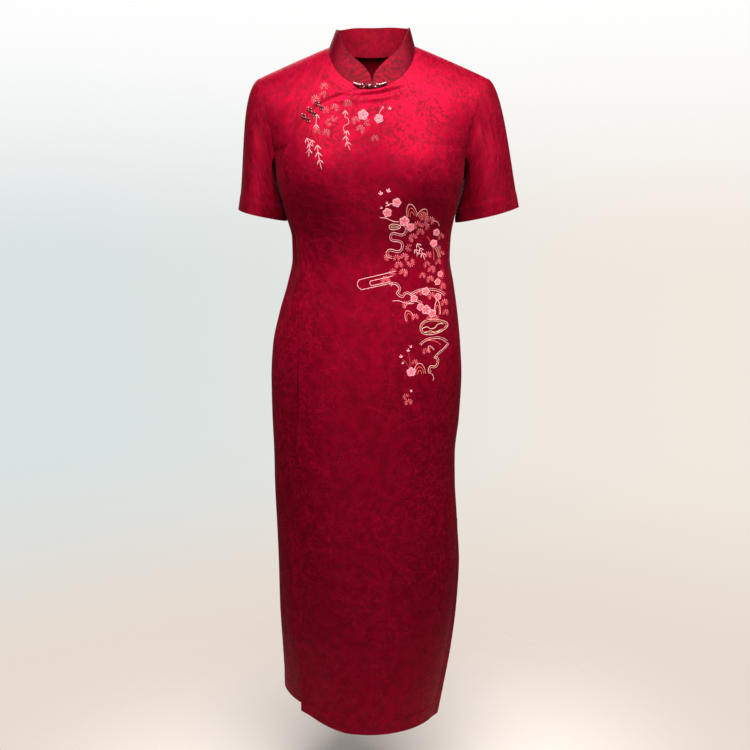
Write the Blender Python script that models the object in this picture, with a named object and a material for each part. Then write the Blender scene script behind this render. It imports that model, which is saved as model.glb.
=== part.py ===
# Cheongsam dress with short sleeves, a stand collar, a slanted front opening and
# side slits, filled out as it is worn. Metres, +Z up. The wearer faces -Y and their
# left side is +X. The origin lies between the two neck ends of the shoulder seams.
import math
from collections import namedtuple
from functools import partial

import bmesh
import bpy
import numpy as np
from mathutils import Vector
from mathutils.bvhtree import BVHTree

# Cloth
cloth_thickness = 0.0012
seam_gap = 0.0003

# Heights of the main lines
hem_height = -1.247
right_hem_lift = {"front": 0.0225, "back": 0.0365}   # the hem rides up at the right slit
hem_fade_level = 0.30        # the lift has gone this share of the way up
slit_top_height = -0.840
slit_lift = 0.0045           # the front's edge stands off the back's beside a slit
slit_lap = 0.0050            # and comes to lie this far over it at the hem
slit_lift_length = 0.100     # how far below the slit's top the edge is fully lifted
slit_lap_length = 0.360      # and fully lapped
slit_ease_width = 0.035      # how far in from the edge the cloth lifts
underarm_height = -0.215
bust_height = -0.200
armhole_turn_height = -0.178  # where the armhole turns up beside the chest
underarm_curve = 1.6         # how sharply the armhole's foot turns, as a power

# Shoulders
shoulder_tip_half = 0.1945   # half the distance between the shoulder tips
shoulder_centre = 0.0025     # middle of the two tips
shoulder_slope = 0.4325
shoulder_round = 0.040       # softens the virtual ridge between the necks' sides
ridge_depth = 0.008          # the shoulder seam lies just behind the centre plane
ridge_half_width = 0.270     # how far out the chest surface would run under the sleeve

# Neckline and collar
neck_half_width = 0.0717
neck_front_drop = 0.0735
neck_back_drop = 0.008
collar_base_gap = 0.0005     # the band starts this far above the neckline
collar_height = 0.044
collar_front_height = 0.009
collar_corner = 0.040        # length of the rounded front corner along the neckline
collar_lean = 0.21           # how far the rim draws in, as a share of the neckline
collar_lean_change = -0.04   # more on the right side, less on the left
collar_back_shift = 0.008    # the rim leans back over the sides and front
collar_side_dip = 0.0130     # the rim sits lower over the shoulders
collar_dip_reach = 0.038

# Panel layout: share of the half width, 0 on the centre line and 1 on the side seam
neck_share = 0.36
armhole_share = 0.80

# Cross-sections of the worn dress, from the hem up. right and left are the side
# extremes, front and back the depths, boxiness the superellipse power, and turn the
# twist about Z in degrees.
Section = namedtuple("Section", "height right left front back boxiness turn")
sections = [
    Section(-1.290, -0.181, 0.128, 0.110, 0.106, 1.95, -11.0),
    Section(-1.250, -0.181, 0.1320, 0.110, 0.106, 1.95, -10.0),
    Section(-1.190, -0.180, 0.1405, 0.109, 0.104, 2.0, -7.5),
    Section(-1.110, -0.181, 0.1517, 0.108, 0.102, 2.1, -4.5),
    Section(-1.025, -0.1825, 0.1598, 0.107, 0.100, 2.25, -2.0),
    Section(-0.940, -0.182, 0.1635, 0.106, 0.101, 2.25, 0.0),
    Section(-0.855, -0.183, 0.1625, 0.105, 0.104, 2.25, 0.0),
    Section(-0.770, -0.1845, 0.1565, 0.104, 0.109, 2.25, 0.0),
    Section(-0.710, -0.184, 0.1550, 0.104, 0.114, 2.25, 0.0),
    Section(-0.640, -0.185, 0.1610, 0.105, 0.119, 2.20, 0.0),
    Section(-0.565, -0.184, 0.1635, 0.105, 0.120, 2.20, 0.0),
    Section(-0.505, -0.1795, 0.1598, 0.102, 0.113, 2.20, 0.0),
    Section(-0.445, -0.166, 0.1530, 0.097, 0.101, 2.20, 0.0),
    Section(-0.395, -0.151, 0.1455, 0.092, 0.089, 2.20, 0.0),
    Section(-0.350, -0.1415, 0.1385, 0.090, 0.081, 2.20, 0.0),
    Section(-0.315, -0.1410, 0.1385, 0.094, 0.081, 2.25, 0.0),
    Section(-0.280, -0.149, 0.1430, 0.101, 0.087, 2.35, 0.0),
    Section(-0.240, -0.158, 0.1510, 0.107, 0.094, 2.50, 0.0),
    Section(-0.200, -0.164, 0.1570, 0.109, 0.097, 2.60, 0.0),
]

# Side seams as angles round the body, in degrees from the front centre
SeamPlace = namedtuple("SeamPlace", "height right left")
seam_places = [
    SeamPlace(-1.260, -38.0, 80.0),
    SeamPlace(-1.140, -42.0, 82.0),
    SeamPlace(-1.050, -48.0, 84.0),
    SeamPlace(-0.920, -51.0, 88.0),
    SeamPlace(-0.840, -52.0, 91.0),
    SeamPlace(-0.760, -46.0, 94.0),
    SeamPlace(-0.570, -41.0, 97.0),
    SeamPlace(-0.460, -42.0, 97.0),
    SeamPlace(-0.380, -46.0, 96.0),
    SeamPlace(-0.320, -53.0, 94.0),
    SeamPlace(-0.265, -68.0, 92.0),
    SeamPlace(-0.215, -90.0, 90.0),
    SeamPlace(-0.150, -90.0, 90.0),
]

# Broad swells that the cut's darts give the front and the back
Swell = namedtuple("Swell", "face across height radius rise")
swells = [
    Swell("front", -0.078, -0.208, 0.055, 0.010),
    Swell("front", 0.076, -0.208, 0.055, 0.010),
    Swell("back", -0.075, -0.560, 0.075, 0.006),
    Swell("back", 0.062, -0.560, 0.075, 0.006),
    Swell("back", -0.075, -0.130, 0.070, 0.005),
    Swell("back", 0.078, -0.130, 0.070, 0.005),
]

# Folds: straight soft ridges (rise above zero) and troughs, from one place to another.
# A place is an angle round the body in degrees and a height.
Fold = namedtuple("Fold", "angle0 height0 angle1 height1 half_width rise")
folds = [
    Fold(-14.0, -0.0925, 15.0, -0.0780, 0.0065, 0.0030),
    Fold(-12.0, -0.1060, 16.0, -0.0930, 0.0070, -0.0028),
    Fold(-62.0, -0.2600, -48.0, -0.4300, 0.0160, 0.0030),
    Fold(-74.0, -0.2700, -66.0, -0.3800, 0.0140, -0.0030),
    Fold(64.0, -0.2500, 52.0, -0.4000, 0.0160, -0.0028),
    Fold(-68.0, -0.4600, -78.0, -0.3600, 0.0200, -0.0035),
    Fold(70.0, -0.4600, 82.0, -0.3500, 0.0200, -0.0030),
    Fold(-25.0, -0.6200, -30.0, -1.1000, 0.0350, 0.0030),
    Fold(22.0, -0.6600, 18.0, -1.1500, 0.0400, 0.0030),
    Fold(0.0, -0.6400, -4.0, -1.2000, 0.0350, -0.0025),
    Fold(150.0, -0.7000, 156.0, -1.2400, 0.0400, 0.0040),
    Fold(-150.0, -0.7000, -154.0, -1.2400, 0.0400, 0.0040),
    Fold(180.0, -0.7000, 180.0, -1.2200, 0.0450, -0.0040),
    Fold(140.0, -0.4300, 170.0, -0.3900, 0.0160, 0.0035),
    Fold(-140.0, -0.4400, -168.0, -0.4000, 0.0160, 0.0035),
    Fold(146.0, -0.3700, 172.0, -0.3500, 0.0150, -0.0030),
    Fold(-146.0, -0.3800, -170.0, -0.3550, 0.0150, -0.0030),
]
body_radius = 0.146          # turns an angle round the body into a length

# Slanted opening, from the collar's front down to the right underarm, as seen from
# the front
PathPoint = namedtuple("PathPoint", "across height")
opening_path = [
    PathPoint(-0.1700, -0.1930),
    PathPoint(-0.1500, -0.1780),
    PathPoint(-0.1360, -0.1600),
    PathPoint(-0.1214, -0.1376),
    PathPoint(-0.1047, -0.1180),
    PathPoint(-0.0835, -0.1000),
    PathPoint(-0.0580, -0.0880),
    PathPoint(-0.0300, -0.0800),
    PathPoint(0.0000, -0.0735),
]
opening_tip_share = 0.02     # the under piece stops this far short of the centre line
opening_low_level = 1.06     # and the opening stays this far up the chest beside the armhole

# Sleeves. The hem is an oval: in_x, out_x and the heights are its ends as seen from
# the front, and depth is its half size from front to back. cap_reach is how strongly
# the cap runs out along the shoulder's slope.
Sleeve = namedtuple("Sleeve", "side out_x out_z in_x in_z depth centre_y cap_reach")
sleeves = [
    Sleeve("right", -0.2345, -0.266, -0.1505, -0.286, 0.056, 0.004, 0.113),
    Sleeve("left", 0.2560, -0.262, 0.1470, -0.289, 0.057, 0.004, 0.094),
]
side_reach = 0.080
under_reach = 0.030
hem_reach_top = 0.190
hem_reach_under = 0.060
underarm_spread = 1.2        # how much the underarm leans out before it drops
inner_side_share = 0.20      # share of the sleeve's round that can meet the body
sleeve_clearance = 0.0020

# Sleeve folds: around runs 0 at the underarm, 0.25 in front, 0.5 on top, 0.75 behind
SleeveFold = namedtuple("SleeveFold", "side around start end half_width rise")
sleeve_folds = [
    SleeveFold("right", 0.20, 0.15, 1.00, 0.035, -0.0040),
    SleeveFold("right", 0.30, 0.20, 1.00, 0.035, 0.0035),
    SleeveFold("right", 0.40, 0.30, 1.00, 0.035, -0.0025),
    SleeveFold("right", 0.70, 0.20, 1.00, 0.040, 0.0035),
    SleeveFold("right", 0.80, 0.15, 1.00, 0.040, -0.0035),
    SleeveFold("left", 0.15, 0.05, 0.80, 0.030, -0.0050),
    SleeveFold("left", 0.24, 0.05, 1.00, 0.035, 0.0040),
    SleeveFold("left", 0.34, 0.20, 1.00, 0.035, -0.0035),
    SleeveFold("left", 0.70, 0.20, 1.00, 0.040, 0.0035),
    SleeveFold("left", 0.80, 0.15, 1.00, 0.040, -0.0035),
]

# The panels' own measures as lengths: across a half panel, up the skirt to the armhole's
# turn and up the chest
panel_half_width = 0.210
skirt_length = 1.05
chest_length = 0.13
edge_band = 1e-6             # a share or level this near an edge counts as on it
halvings = 30                # steps of a search by halving

# Faces of each panel
side_columns = 3             # between the side seam and the armhole's turn
shoulder_columns = 7
neck_half_columns = 7
skirt_rows = 24
chest_rows = 9
opening_rows = 6
sleeve_rows = (0.0, 0.06, 0.16, 0.30, 0.46, 0.64, 0.82, 1.0)
collar_rows = 4

# Metal clasps, the collar's and the three small ones on the slanted opening. Each half
# is one bent wire. across and height place the middle, tilt is in degrees, bow is how
# far the outer ends rise, and the half length, half width and wire are sizes.
Clasp = namedtuple("Clasp", "name across height tilt bow half_length half_width wire")
clasps = [
    Clasp("collar_clasp", -0.0034, -0.0714, 0.0, 0.0058, 0.0272, 0.0036, 0.00085),
    Clasp("upper_fastening", -0.0840, -0.1005, -49.0, 0.0, 0.0082, 0.0021, 0.00042),
    Clasp("middle_fastening", -0.0960, -0.1100, -49.0, 0.0, 0.0082, 0.0021, 0.00042),
    Clasp("lower_fastening", -0.1060, -0.1195, -43.0, 0.0, 0.0082, 0.0021, 0.00042),
]
clasp_clearance = 0.0005     # between the wires and the cloth, and where they cross
sight_start = -0.5           # wires are seated on the cloth along a line from here
ring_share = 3.5             # the eye's ring radius, in wire radii
nose_share = 1.35            # the hook's nose, in wire radii
weld_distance = 1e-6
ring_points = 8
leaf_points = 9

# Colours of the materials
red_satin = (0.36, 0.004, 0.018)
dark_bronze = (0.09, 0.035, 0.02)


def clear_scene():
    for existing in list(bpy.data.objects):
        bpy.data.objects.remove(existing, do_unlink=True)


def make_collection(name):
    collection = bpy.data.collections.new(name)
    bpy.context.scene.collection.children.link(collection)
    return collection


def make_material(name, colour, roughness, metallic):
    material = bpy.data.materials.new(name)
    material.use_nodes = True
    shader = material.node_tree.nodes["Principled BSDF"]
    shader.inputs["Base Color"].default_value = (*colour, 1.0)
    shader.inputs["Roughness"].default_value = roughness
    shader.inputs["Metallic"].default_value = metallic
    return material


def signed_power(value, power):
    return np.sign(value) * np.abs(value) ** power


def smooth_column(places, values, at):
    # monotone cubic through the rows of a table
    places = np.asarray(places, float)
    values = np.asarray(values, float)
    step = np.diff(places)
    slope = np.diff(values) / step
    tangent = np.zeros_like(values)
    tangent[0] = slope[0]
    for row in range(1, len(values) - 1):
        if slope[row - 1] * slope[row] > 0:
            tangent[row] = 2 / (1 / slope[row - 1] + 1 / slope[row])
    at = np.clip(at, places[0], places[-1])
    row = np.clip(np.searchsorted(places, at) - 1, 0, len(step) - 1)
    part = (at - places[row]) / step[row]
    return (
        (1 + 2 * part) * (1 - part) ** 2 * values[row]
        + part * (1 - part) ** 2 * step[row] * tangent[row]
        + part**2 * (3 - 2 * part) * values[row + 1]
        + part**2 * (part - 1) * step[row] * tangent[row + 1]
    )


def section_value(field, height):
    return smooth_column(
        [row.height for row in sections], [getattr(row, field) for row in sections], height
    )


def seam_angle(field, height):
    degrees = smooth_column(
        [row.height for row in seam_places], [getattr(row, field) for row in seam_places], height
    )
    return np.radians(degrees)


def shoulder_ridge(across):
    # height of the shoulder line at a place across, 0 at the neck's sides
    from_centre = np.sqrt(across**2 + shoulder_round**2)
    at_neck = math.hypot(neck_half_width, shoulder_round)
    return -shoulder_slope * (from_centre - at_neck)


def body_point(angle, height):
    # a point of the lower body, on the cross-section at its height
    right = section_value("right", height)
    left = section_value("left", height)
    boxiness = section_value("boxiness", height)
    turn = np.radians(section_value("turn", height))
    front = section_value("front", height)
    back = section_value("back", height)
    depth = np.where(np.cos(angle) > 0, front, back)
    across = (left - right) / 2 * signed_power(np.sin(angle), 2 / boxiness)
    along = -depth * signed_power(np.cos(angle), 2 / boxiness)
    x = (left + right) / 2 + across * np.cos(turn) - along * np.sin(turn)
    y = across * np.sin(turn) + along * np.cos(turn)
    return np.stack([x, y, height + 0 * x], -1)


bust_row = sections[-1]
bust_half_width = (bust_row.left - bust_row.right) / 2
bust_centre = (bust_row.left + bust_row.right) / 2
rise_power = {"front": 0.75, "back": 1.0}


def chest_point(face, lateral, rise):
    # a point above the bust line: rise is 0 there and a quarter turn on the shoulder
    power = 2 / bust_row.boxiness
    side = signed_power(np.sin(lateral), power)
    fullness = np.abs(np.cos(lateral)) ** power
    grow = 1 - np.cos(rise)
    half_width = bust_half_width + (ridge_half_width - bust_half_width) * grow
    x = bust_centre + (shoulder_centre - bust_centre) * grow + half_width * side
    ridge = shoulder_ridge(ridge_half_width * side)
    share = np.clip(np.sin(rise), 0.0, 1.0) ** (1 / rise_power[face])
    z = bust_height + (ridge - bust_height) * share
    if face == "front":
        y = ridge_depth - (bust_row.front * fullness + ridge_depth) * np.cos(rise)
    else:
        y = ridge_depth + (bust_row.back * fullness - ridge_depth) * np.cos(rise)
    return np.stack([x, y, z], -1)


def rise_at(face, lateral, height):
    # the rise at which the chest surface reaches a height
    side = signed_power(np.sin(lateral), 2 / bust_row.boxiness)
    ridge = shoulder_ridge(ridge_half_width * side)
    share = np.clip((height - bust_height) / (ridge - bust_height), 0.0, 1.0)
    return np.arcsin(share ** rise_power[face])


def lateral_at(across, rise):
    # the lateral angle at which the chest surface reaches a place across
    grow = 1 - np.cos(rise)
    half_width = bust_half_width + (ridge_half_width - bust_half_width) * grow
    centre = bust_centre + (shoulder_centre - bust_centre) * grow
    side = np.clip((across - centre) / half_width, -1.0, 1.0)
    return np.arcsin(signed_power(side, bust_row.boxiness / 2))


def neckline_place(face, turn):
    # lateral angle and rise of the neckline; turn is 0 at the centre line
    drop = neck_front_drop if face == "front" else neck_back_drop
    across = neck_half_width * np.sin(turn)
    height = -drop * np.cos(turn)
    rise = np.full_like(across, 1.2)
    for _ in range(halvings):
        lateral = lateral_at(across, rise)
        rise = rise_at(face, lateral, height)
    return lateral, rise


def panel_top(face, share):
    # lateral angle and rise of a column's upper end, on the neckline or the shoulder
    inside = np.clip(share / neck_share, -1.0, 1.0)
    lateral, rise = neckline_place(face, inside * math.pi / 2)
    outside = np.clip((np.abs(share) - neck_share) / (armhole_share - neck_share), 0.0, 1.0)
    reach = neck_half_width + (shoulder_tip_half - neck_half_width) * outside
    seam_x = np.sign(share) * reach + shoulder_centre * outside
    on_shoulder = np.abs(share) > neck_share - edge_band
    lateral = np.where(on_shoulder, lateral_at(seam_x, np.pi / 2 + 0 * share), lateral)
    rise = np.where(on_shoulder, np.pi / 2, rise)
    return lateral, rise


def split_height(share):
    # lower edge of the armhole outside its turn, level across the chest inside it
    outside = np.clip((np.abs(share) - armhole_share) / (1 - armhole_share), 0.0, 1.0)
    return armhole_turn_height + (underarm_height - armhole_turn_height) * outside**underarm_curve


def hem_rise(face, share):
    # how far the hem is lifted round the right side seam
    if face == "front":
        nearness = np.clip((-share - 0.4) / 0.6, 0.0, 1.0) ** 1.3
    else:
        reach = np.clip(-share / 0.85, 0.0, 1.0)
        nearness = reach * reach * (3 - 2 * reach)
    return right_hem_lift[face] * nearness


def row_height(face, share, level):
    # height of a row between the hem and the armhole's turn; the lift of the hem fades
    # out below the slits' tops, so that front and back share their rows along the seams
    fade = (1 - np.clip(level / hem_fade_level, 0.0, 1.0)) ** 2
    return hem_height * (1 - level) + split_height(share) * level + hem_rise(face, share) * fade


def surface_normal(place, first, second):
    # outward direction of a surface, from small steps along its two measures
    step = 1e-4
    across = place(first + step, second) - place(first - step, second)
    upward = place(first, second + step) - place(first, second - step)
    normal = np.cross(across, upward)
    return normal / (np.linalg.norm(normal, axis=-1, keepdims=True) + 1e-15)


def smooth_point(face, share, level):
    # level runs 0 to 1 from the hem to the armhole's turn and 1 to 2 up to the top
    low_level = np.clip(level, 0.0, 1.0)
    height = row_height(face, share, low_level)
    right = seam_angle("right", height)
    left = seam_angle("left", height)
    part = (share + 1) / 2
    if face == "front":
        angle = right + (left - right) * part
        lateral = angle
    else:
        angle = right + (left - 2 * np.pi - right) * part
        lateral = -np.pi - angle
    low_height = np.minimum(height, bust_height)
    low = body_point(angle, low_height)
    low_normal = surface_normal(body_point, angle, low_height)
    split_lateral = lateral
    split_rise = rise_at(face, split_lateral, height)
    top_lateral, top_rise = panel_top(face, share)
    up = np.clip(level - 1, 0.0, 1.0)
    chest_lateral = split_lateral + (top_lateral - split_lateral) * up
    chest_rise = split_rise + (top_rise - split_rise) * up
    high = chest_point(face, chest_lateral, chest_rise)
    high_normal = surface_normal(partial(chest_point, face), chest_lateral, chest_rise)
    if face == "back":
        high_normal = -high_normal
    is_low = ((height < bust_height) & (level <= 1))[..., None]
    point = np.where(is_low, low, high)
    normal = np.where(is_low, low_normal, high_normal)
    around = np.where(level <= 1, lateral, chest_lateral)
    around = around if face == "front" else -np.pi - around
    return point, around, normal


def swell_rise(face, point):
    total = np.zeros(point.shape[:-1])
    for swell in swells:
        if swell.face == face:
            reach = np.hypot(point[..., 0] - swell.across, point[..., 2] - swell.height)
            total += swell.rise * np.exp(-((reach / swell.radius) ** 2))
    return total


def fold_rise(angle, height):
    total = np.zeros(angle.shape)
    for fold in folds:
        turn = np.radians(fold.angle0)
        away = (angle - turn + np.pi) % (2 * np.pi) - np.pi
        sweep = math.radians(fold.angle1 - fold.angle0) * body_radius
        fall = fold.height1 - fold.height0
        length = math.hypot(sweep, fall)
        u = away * body_radius
        v = height - fold.height0
        along = (u * sweep + v * fall) / length**2
        beyond = np.clip(np.abs(along - 0.5) - 0.5, 0.0, None) * length
        aside = np.abs(u * fall - v * sweep) / length
        middle = 1 - 0.35 * np.clip(np.abs(along - 0.5) * 2, 0, 1) ** 2
        reach = (aside / fold.half_width) ** 2 + (beyond / (1.5 * fold.half_width)) ** 2
        total += fold.rise * middle * np.exp(-reach)
    return total


def ease_in(part):
    part = np.clip(part, 0.0, 1.0)
    return part * part * (3 - 2 * part)


def slit_rise(face, share, height):
    # how far the front's edge stands off beside the slits
    if face == "back":
        return np.zeros(share.shape)
    below = ease_in((slit_top_height - height) / slit_lift_length)
    inward = np.clip((1 - np.abs(share)) * panel_half_width / slit_ease_width, 0.0, 1.0)
    return slit_lift * below * (1 - inward) ** 2


def cloth_place(face, share, level):
    # the outer face of the cloth, with its swells and folds, and its outward direction
    share, level = np.broadcast_arrays(np.asarray(share, float), np.asarray(level, float))
    point, angle, normal = smooth_point(face, share, level)
    lift = swell_rise(face, point) + fold_rise(angle, point[..., 2])
    lift = lift + slit_rise(face, share, point[..., 2])
    return point + normal * lift[..., None], normal


def wall_direction(face, share, level, normal, top):
    # the way into the wall, mitred where front and back meet along the shoulder seam
    other = "back" if face == "front" else "front"
    mitred = normal + cloth_place(other, share, level)[1]
    mitred /= np.linalg.norm(mitred, axis=-1, keepdims=True)
    on_seam = top & (np.abs(share) > neck_share - edge_band)
    return -np.where(on_seam[..., None], mitred, normal)


def opening_level(share):
    # level at which a column of the front meets the slanted opening
    low = np.full(share.shape, 1.0)
    high = np.full(share.shape, 2.0)
    across = [row.across for row in opening_path]
    heights = [row.height for row in opening_path]
    for _ in range(halvings):
        middle = (low + high) / 2
        point = smooth_point("front", share, middle)[0]
        above = point[..., 2] > smooth_column(across, heights, point[..., 0])
        high = np.where(above, middle, high)
        low = np.where(above, low, middle)
    return np.clip(low, opening_low_level, 2.0)


def column_shares():
    side = np.linspace(1.0, armhole_share, side_columns + 1)
    shoulder = np.linspace(armhole_share, neck_share, shoulder_columns + 1)
    neck = np.linspace(neck_share, 0.0, neck_half_columns + 1)
    half = np.concatenate([side, shoulder[1:], neck[1:]])
    return np.concatenate([-half, half[-2::-1]])


def make_cloth(name, outer, inward, faces, collection, material):
    # a closed wall: the outer faces, the same faces a thickness further in and the rim
    outer = np.asarray(outer).reshape(-1, 3)
    inner = outer + cloth_thickness * np.asarray(inward).reshape(-1, 3)
    count = len(outer)
    edges = {(face[turn - 1], face[turn]) for face in faces for turn in range(3)}
    rim = [(a, b) for a, b in sorted(edges) if (b, a) not in edges]
    wall = faces + [[count + corner for corner in reversed(face)] for face in faces]
    wall += [[b, a, count + a, count + b] for a, b in rim]
    mesh = bpy.data.meshes.new(name)
    mesh.from_pydata([tuple(point) for point in np.concatenate([outer, inner])], [], wall)
    mesh.shade_smooth()
    mesh.set_sharp_from_angle(angle=math.radians(60.0))
    cloth = bpy.data.objects.new(name, mesh)
    collection.objects.link(cloth)
    mesh.materials.append(material)
    return cloth


def grid_faces(index, flip):
    # triangles over a grid of point numbers, skipping places that hold -1; their
    # diagonals lean the other way in the second half of the columns
    faces = []
    for row in range(index.shape[0] - 1):
        for column in range(index.shape[1] - 1):
            near, aside = index[row, column], index[row, column + 1]
            far, above = index[row + 1, column + 1], index[row + 1, column]
            if min(near, aside, far, above) >= 0:
                if column < (index.shape[1] - 1) // 2:
                    pair = [[near, aside, far], [near, far, above]]
                else:
                    pair = [[near, aside, above], [aside, far, above]]
                faces += [corners[::-1] for corners in pair] if flip else pair
    return faces


def grid_normals(points, flip):
    # outward directions over a grid whose last column meets its first
    around = np.roll(points, -1, 1) - np.roll(points, 1, 1)
    along = np.gradient(points, axis=0)
    normal = np.cross(around, along)
    normal /= np.linalg.norm(normal, axis=-1, keepdims=True)
    return -normal if flip else normal


def number_grid(keep):
    index = np.full(keep.shape, -1)
    index[keep] = np.arange(keep.sum())
    return index


def level_rows():
    skirt = np.linspace(0.0, 1.0, skirt_rows + 1)
    chest = np.linspace(1.0, 2.0, chest_rows + 1)
    return np.concatenate([skirt, chest[1:]])


def inset_panel(face, shares, levels, tops):
    # grids of share and level, drawn in by half a seam gap along every edge and, on the
    # front, carried on over the back beside the slits
    share = np.repeat(shares[None, :], len(levels), 0)
    level = np.repeat(levels[:, None], len(shares), 1)
    up = np.clip(level - 1, 0, 1)
    level = np.where(level > 1, 1 + up * (tops[None, :] - 1), level)
    half_gap = seam_gap / 2
    across_gap = half_gap / panel_half_width
    side = np.abs(share) > 0.999
    height = row_height(face, share, np.minimum(level, 1.0))
    past_lift = (slit_top_height - slit_lift_length - height) / (slit_lap_length - slit_lift_length)
    lap = slit_lap * ease_in(past_lift) / panel_half_width if face == "front" else 0.0
    share = np.where(side, np.sign(share) * (1 - across_gap + lap), share)
    turn = (np.abs(np.abs(share) - armhole_share) < edge_band) & (level >= 1)
    share = np.where(turn, np.sign(share) * (armhole_share - across_gap), share)
    outer_top = (np.abs(share) > armhole_share - 2 * across_gap) & (np.abs(level - 1) < edge_band)
    level = np.where(outer_top, 1 - half_gap / skirt_length, level)
    top = up > 1 - edge_band
    level = np.where(top, level - half_gap / chest_length, level)
    return share, level


def make_panel(name, face, tops, collection, material):
    shares = column_shares()
    levels = level_rows()
    share, level = inset_panel(face, shares, levels, tops)
    keep = (levels[:, None] <= 1 + edge_band) | (np.abs(shares[None, :]) <= armhole_share + edge_band)
    share, level = share[keep], level[keep]
    points, normal = cloth_place(face, share, level)
    top = np.repeat(tops[None, :], len(levels), 0)[keep] == 2.0
    top &= level > 2.0 - seam_gap / chest_length
    inward = wall_direction(face, share, level, normal, top)
    faces = grid_faces(number_grid(keep), face == "back")
    return make_cloth(name, points, inward, faces, collection, material)


def make_under_piece(collection, material):
    # the piece above the slanted opening, on the wearer's right
    shares = column_shares()
    inside = (shares >= -armhole_share - edge_band) & (shares < -opening_tip_share)
    shares = np.append(shares[inside], -opening_tip_share)
    tops = opening_level(shares)
    part = np.linspace(0.0, 1.0, opening_rows + 1)[:, None]
    low = tops[None, :] + seam_gap / chest_length
    level = low + (2.0 - seam_gap / 2 / chest_length - low) * part
    share = np.repeat(shares[None, :], len(part), 0)
    share[:, 0] += seam_gap / 2 / panel_half_width
    points, normal = cloth_place("front", share, level)
    top = np.broadcast_to(part == 1.0, share.shape)
    inward = wall_direction("front", share, level, normal, top)
    faces = grid_faces(number_grid(np.ones(share.shape, bool)), False)
    return make_cloth("front_under_piece", points, inward, faces, collection, material)


def armhole_stops():
    # places round the armhole, from the underarm up the front and down the back
    side = np.linspace(1.0, armhole_share, side_columns + 1)
    chest = np.linspace(1.0, 2.0, chest_rows + 1)
    front = [("front", share, 1.0) for share in side]
    front += [("front", armhole_share, level) for level in chest[1:]]
    back = [("back", share, level) for _, share, level in front]
    return front + back[-2:0:-1]


def armhole_curve(sign):
    points = []
    outward = []
    for face, share, level in armhole_stops():
        here = cloth_place(face, sign * share, level)[0]
        inside = cloth_place(face, sign * (share - 0.01), level)[0]
        points.append(here)
        outward.append((here - inside) / np.linalg.norm(here - inside))
    return np.array(points), np.array(outward)


def sleeve_frame(sleeve):
    centre = np.array([
        (sleeve.out_x + sleeve.in_x) / 2,
        sleeve.centre_y,
        (sleeve.out_z + sleeve.in_z) / 2,
    ])
    inward = np.array([sleeve.in_x - sleeve.out_x, 0.0, sleeve.in_z - sleeve.out_z]) / 2
    down = np.array([inward[2], 0.0, -inward[0]])
    if down[2] > 0:
        down = -down
    return centre, inward, down / np.linalg.norm(down)


def sleeve_fold_rise(side, around, along):
    total = np.zeros(around.shape)
    for fold in sleeve_folds:
        if fold.side == side:
            away = (around - fold.around + 0.5) % 1.0 - 0.5
            grow = np.clip((along - fold.start) / 0.25, 0.0, 1.0)
            fade = np.clip((fold.end + 0.25 - along) / 0.25, 0.0, 1.0)
            ease = grow * grow * (3 - 2 * grow) * fade
            total += fold.rise * ease * np.exp(-((away / fold.half_width) ** 2))
    return total


def keep_off(points, tree):
    # moves the sleeve's inner side off the body, row by row below the seam
    around = np.arange(points.shape[1]) / points.shape[1]
    inner_side = np.abs(around - 0.5) > 0.5 - inner_side_share
    for row in range(1, points.shape[0]):
        for column in np.nonzero(inner_side)[0]:
            point = Vector(points[row, column])
            near, normal, _, _ = tree.find_nearest(point)
            stand_off = (point - near).dot(normal)
            if stand_off < sleeve_clearance:
                points[row, column] = point + normal * (sleeve_clearance - stand_off)


def make_sleeve(sleeve, tree, collection, material):
    sign = -1.0 if sleeve.side == "right" else 1.0
    start, outward = armhole_curve(sign)
    centre, inward, down = sleeve_frame(sleeve)
    lengths = np.linalg.norm(np.roll(start, -1, 0) - start, axis=1)
    around = np.concatenate([[0.0], np.cumsum(lengths)[:-1]]) / lengths.sum()
    turn = 2 * np.pi * around
    hem = centre + np.cos(turn)[:, None] * inward
    hem[:, 1] -= sleeve.depth * np.sin(turn)
    topness = ((1 - np.cos(turn)) / 2)[:, None]
    spread = np.array([sign * underarm_spread, 0.0, 0.0])
    leave = topness * outward + (1 - topness) * (down + spread)
    leave /= np.linalg.norm(leave, axis=1, keepdims=True)
    reach = under_reach + (side_reach - under_reach) * np.minimum(topness * 2, 1)
    reach = reach + (sleeve.cap_reach - side_reach) * np.clip(topness * 2 - 1, 0, 1)
    arrive = hem_reach_under + (hem_reach_top - hem_reach_under) * topness
    rows = []
    for part in sleeve_rows:
        row = (
            (1 + 2 * part) * (1 - part) ** 2 * start
            + part * (1 - part) ** 2 * reach * leave
            + part**2 * (3 - 2 * part) * hem
            + part**2 * (part - 1) * arrive * down
        )
        away = row - row.mean(0)
        away /= np.linalg.norm(away, axis=1, keepdims=True)
        rise = sleeve_fold_rise(sleeve.side, around, np.full(len(row), part))
        rows.append(row + away * rise[:, None])
    rows[0] = start + leave * seam_gap
    points = np.array(rows)
    keep_off(points, tree)
    normal = grid_normals(points, sleeve.side == "left")
    index = np.arange(points.shape[0] * points.shape[1]).reshape(points.shape[:2])
    index = np.concatenate([index, index[:, :1]], 1)
    faces = grid_faces(index, sleeve.side == "left")
    return make_cloth(f"sleeve_{sleeve.side}", points, -normal, faces, collection, material)


def neckline_curve():
    # from the front centre round the wearer's left, the back and the right
    half = np.linspace(0.0, neck_share, neck_half_columns + 1)
    front_left = cloth_place("front", half, np.full(half.shape, 2.0))[0]
    back = np.linspace(neck_share, -neck_share, 2 * neck_half_columns + 1)[1:]
    behind = cloth_place("back", back, np.full(back.shape, 2.0))[0]
    front_right = cloth_place("front", -half[::-1][1:], np.full(len(half) - 1, 2.0))[0]
    return np.concatenate([front_left, behind, front_right])


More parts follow.
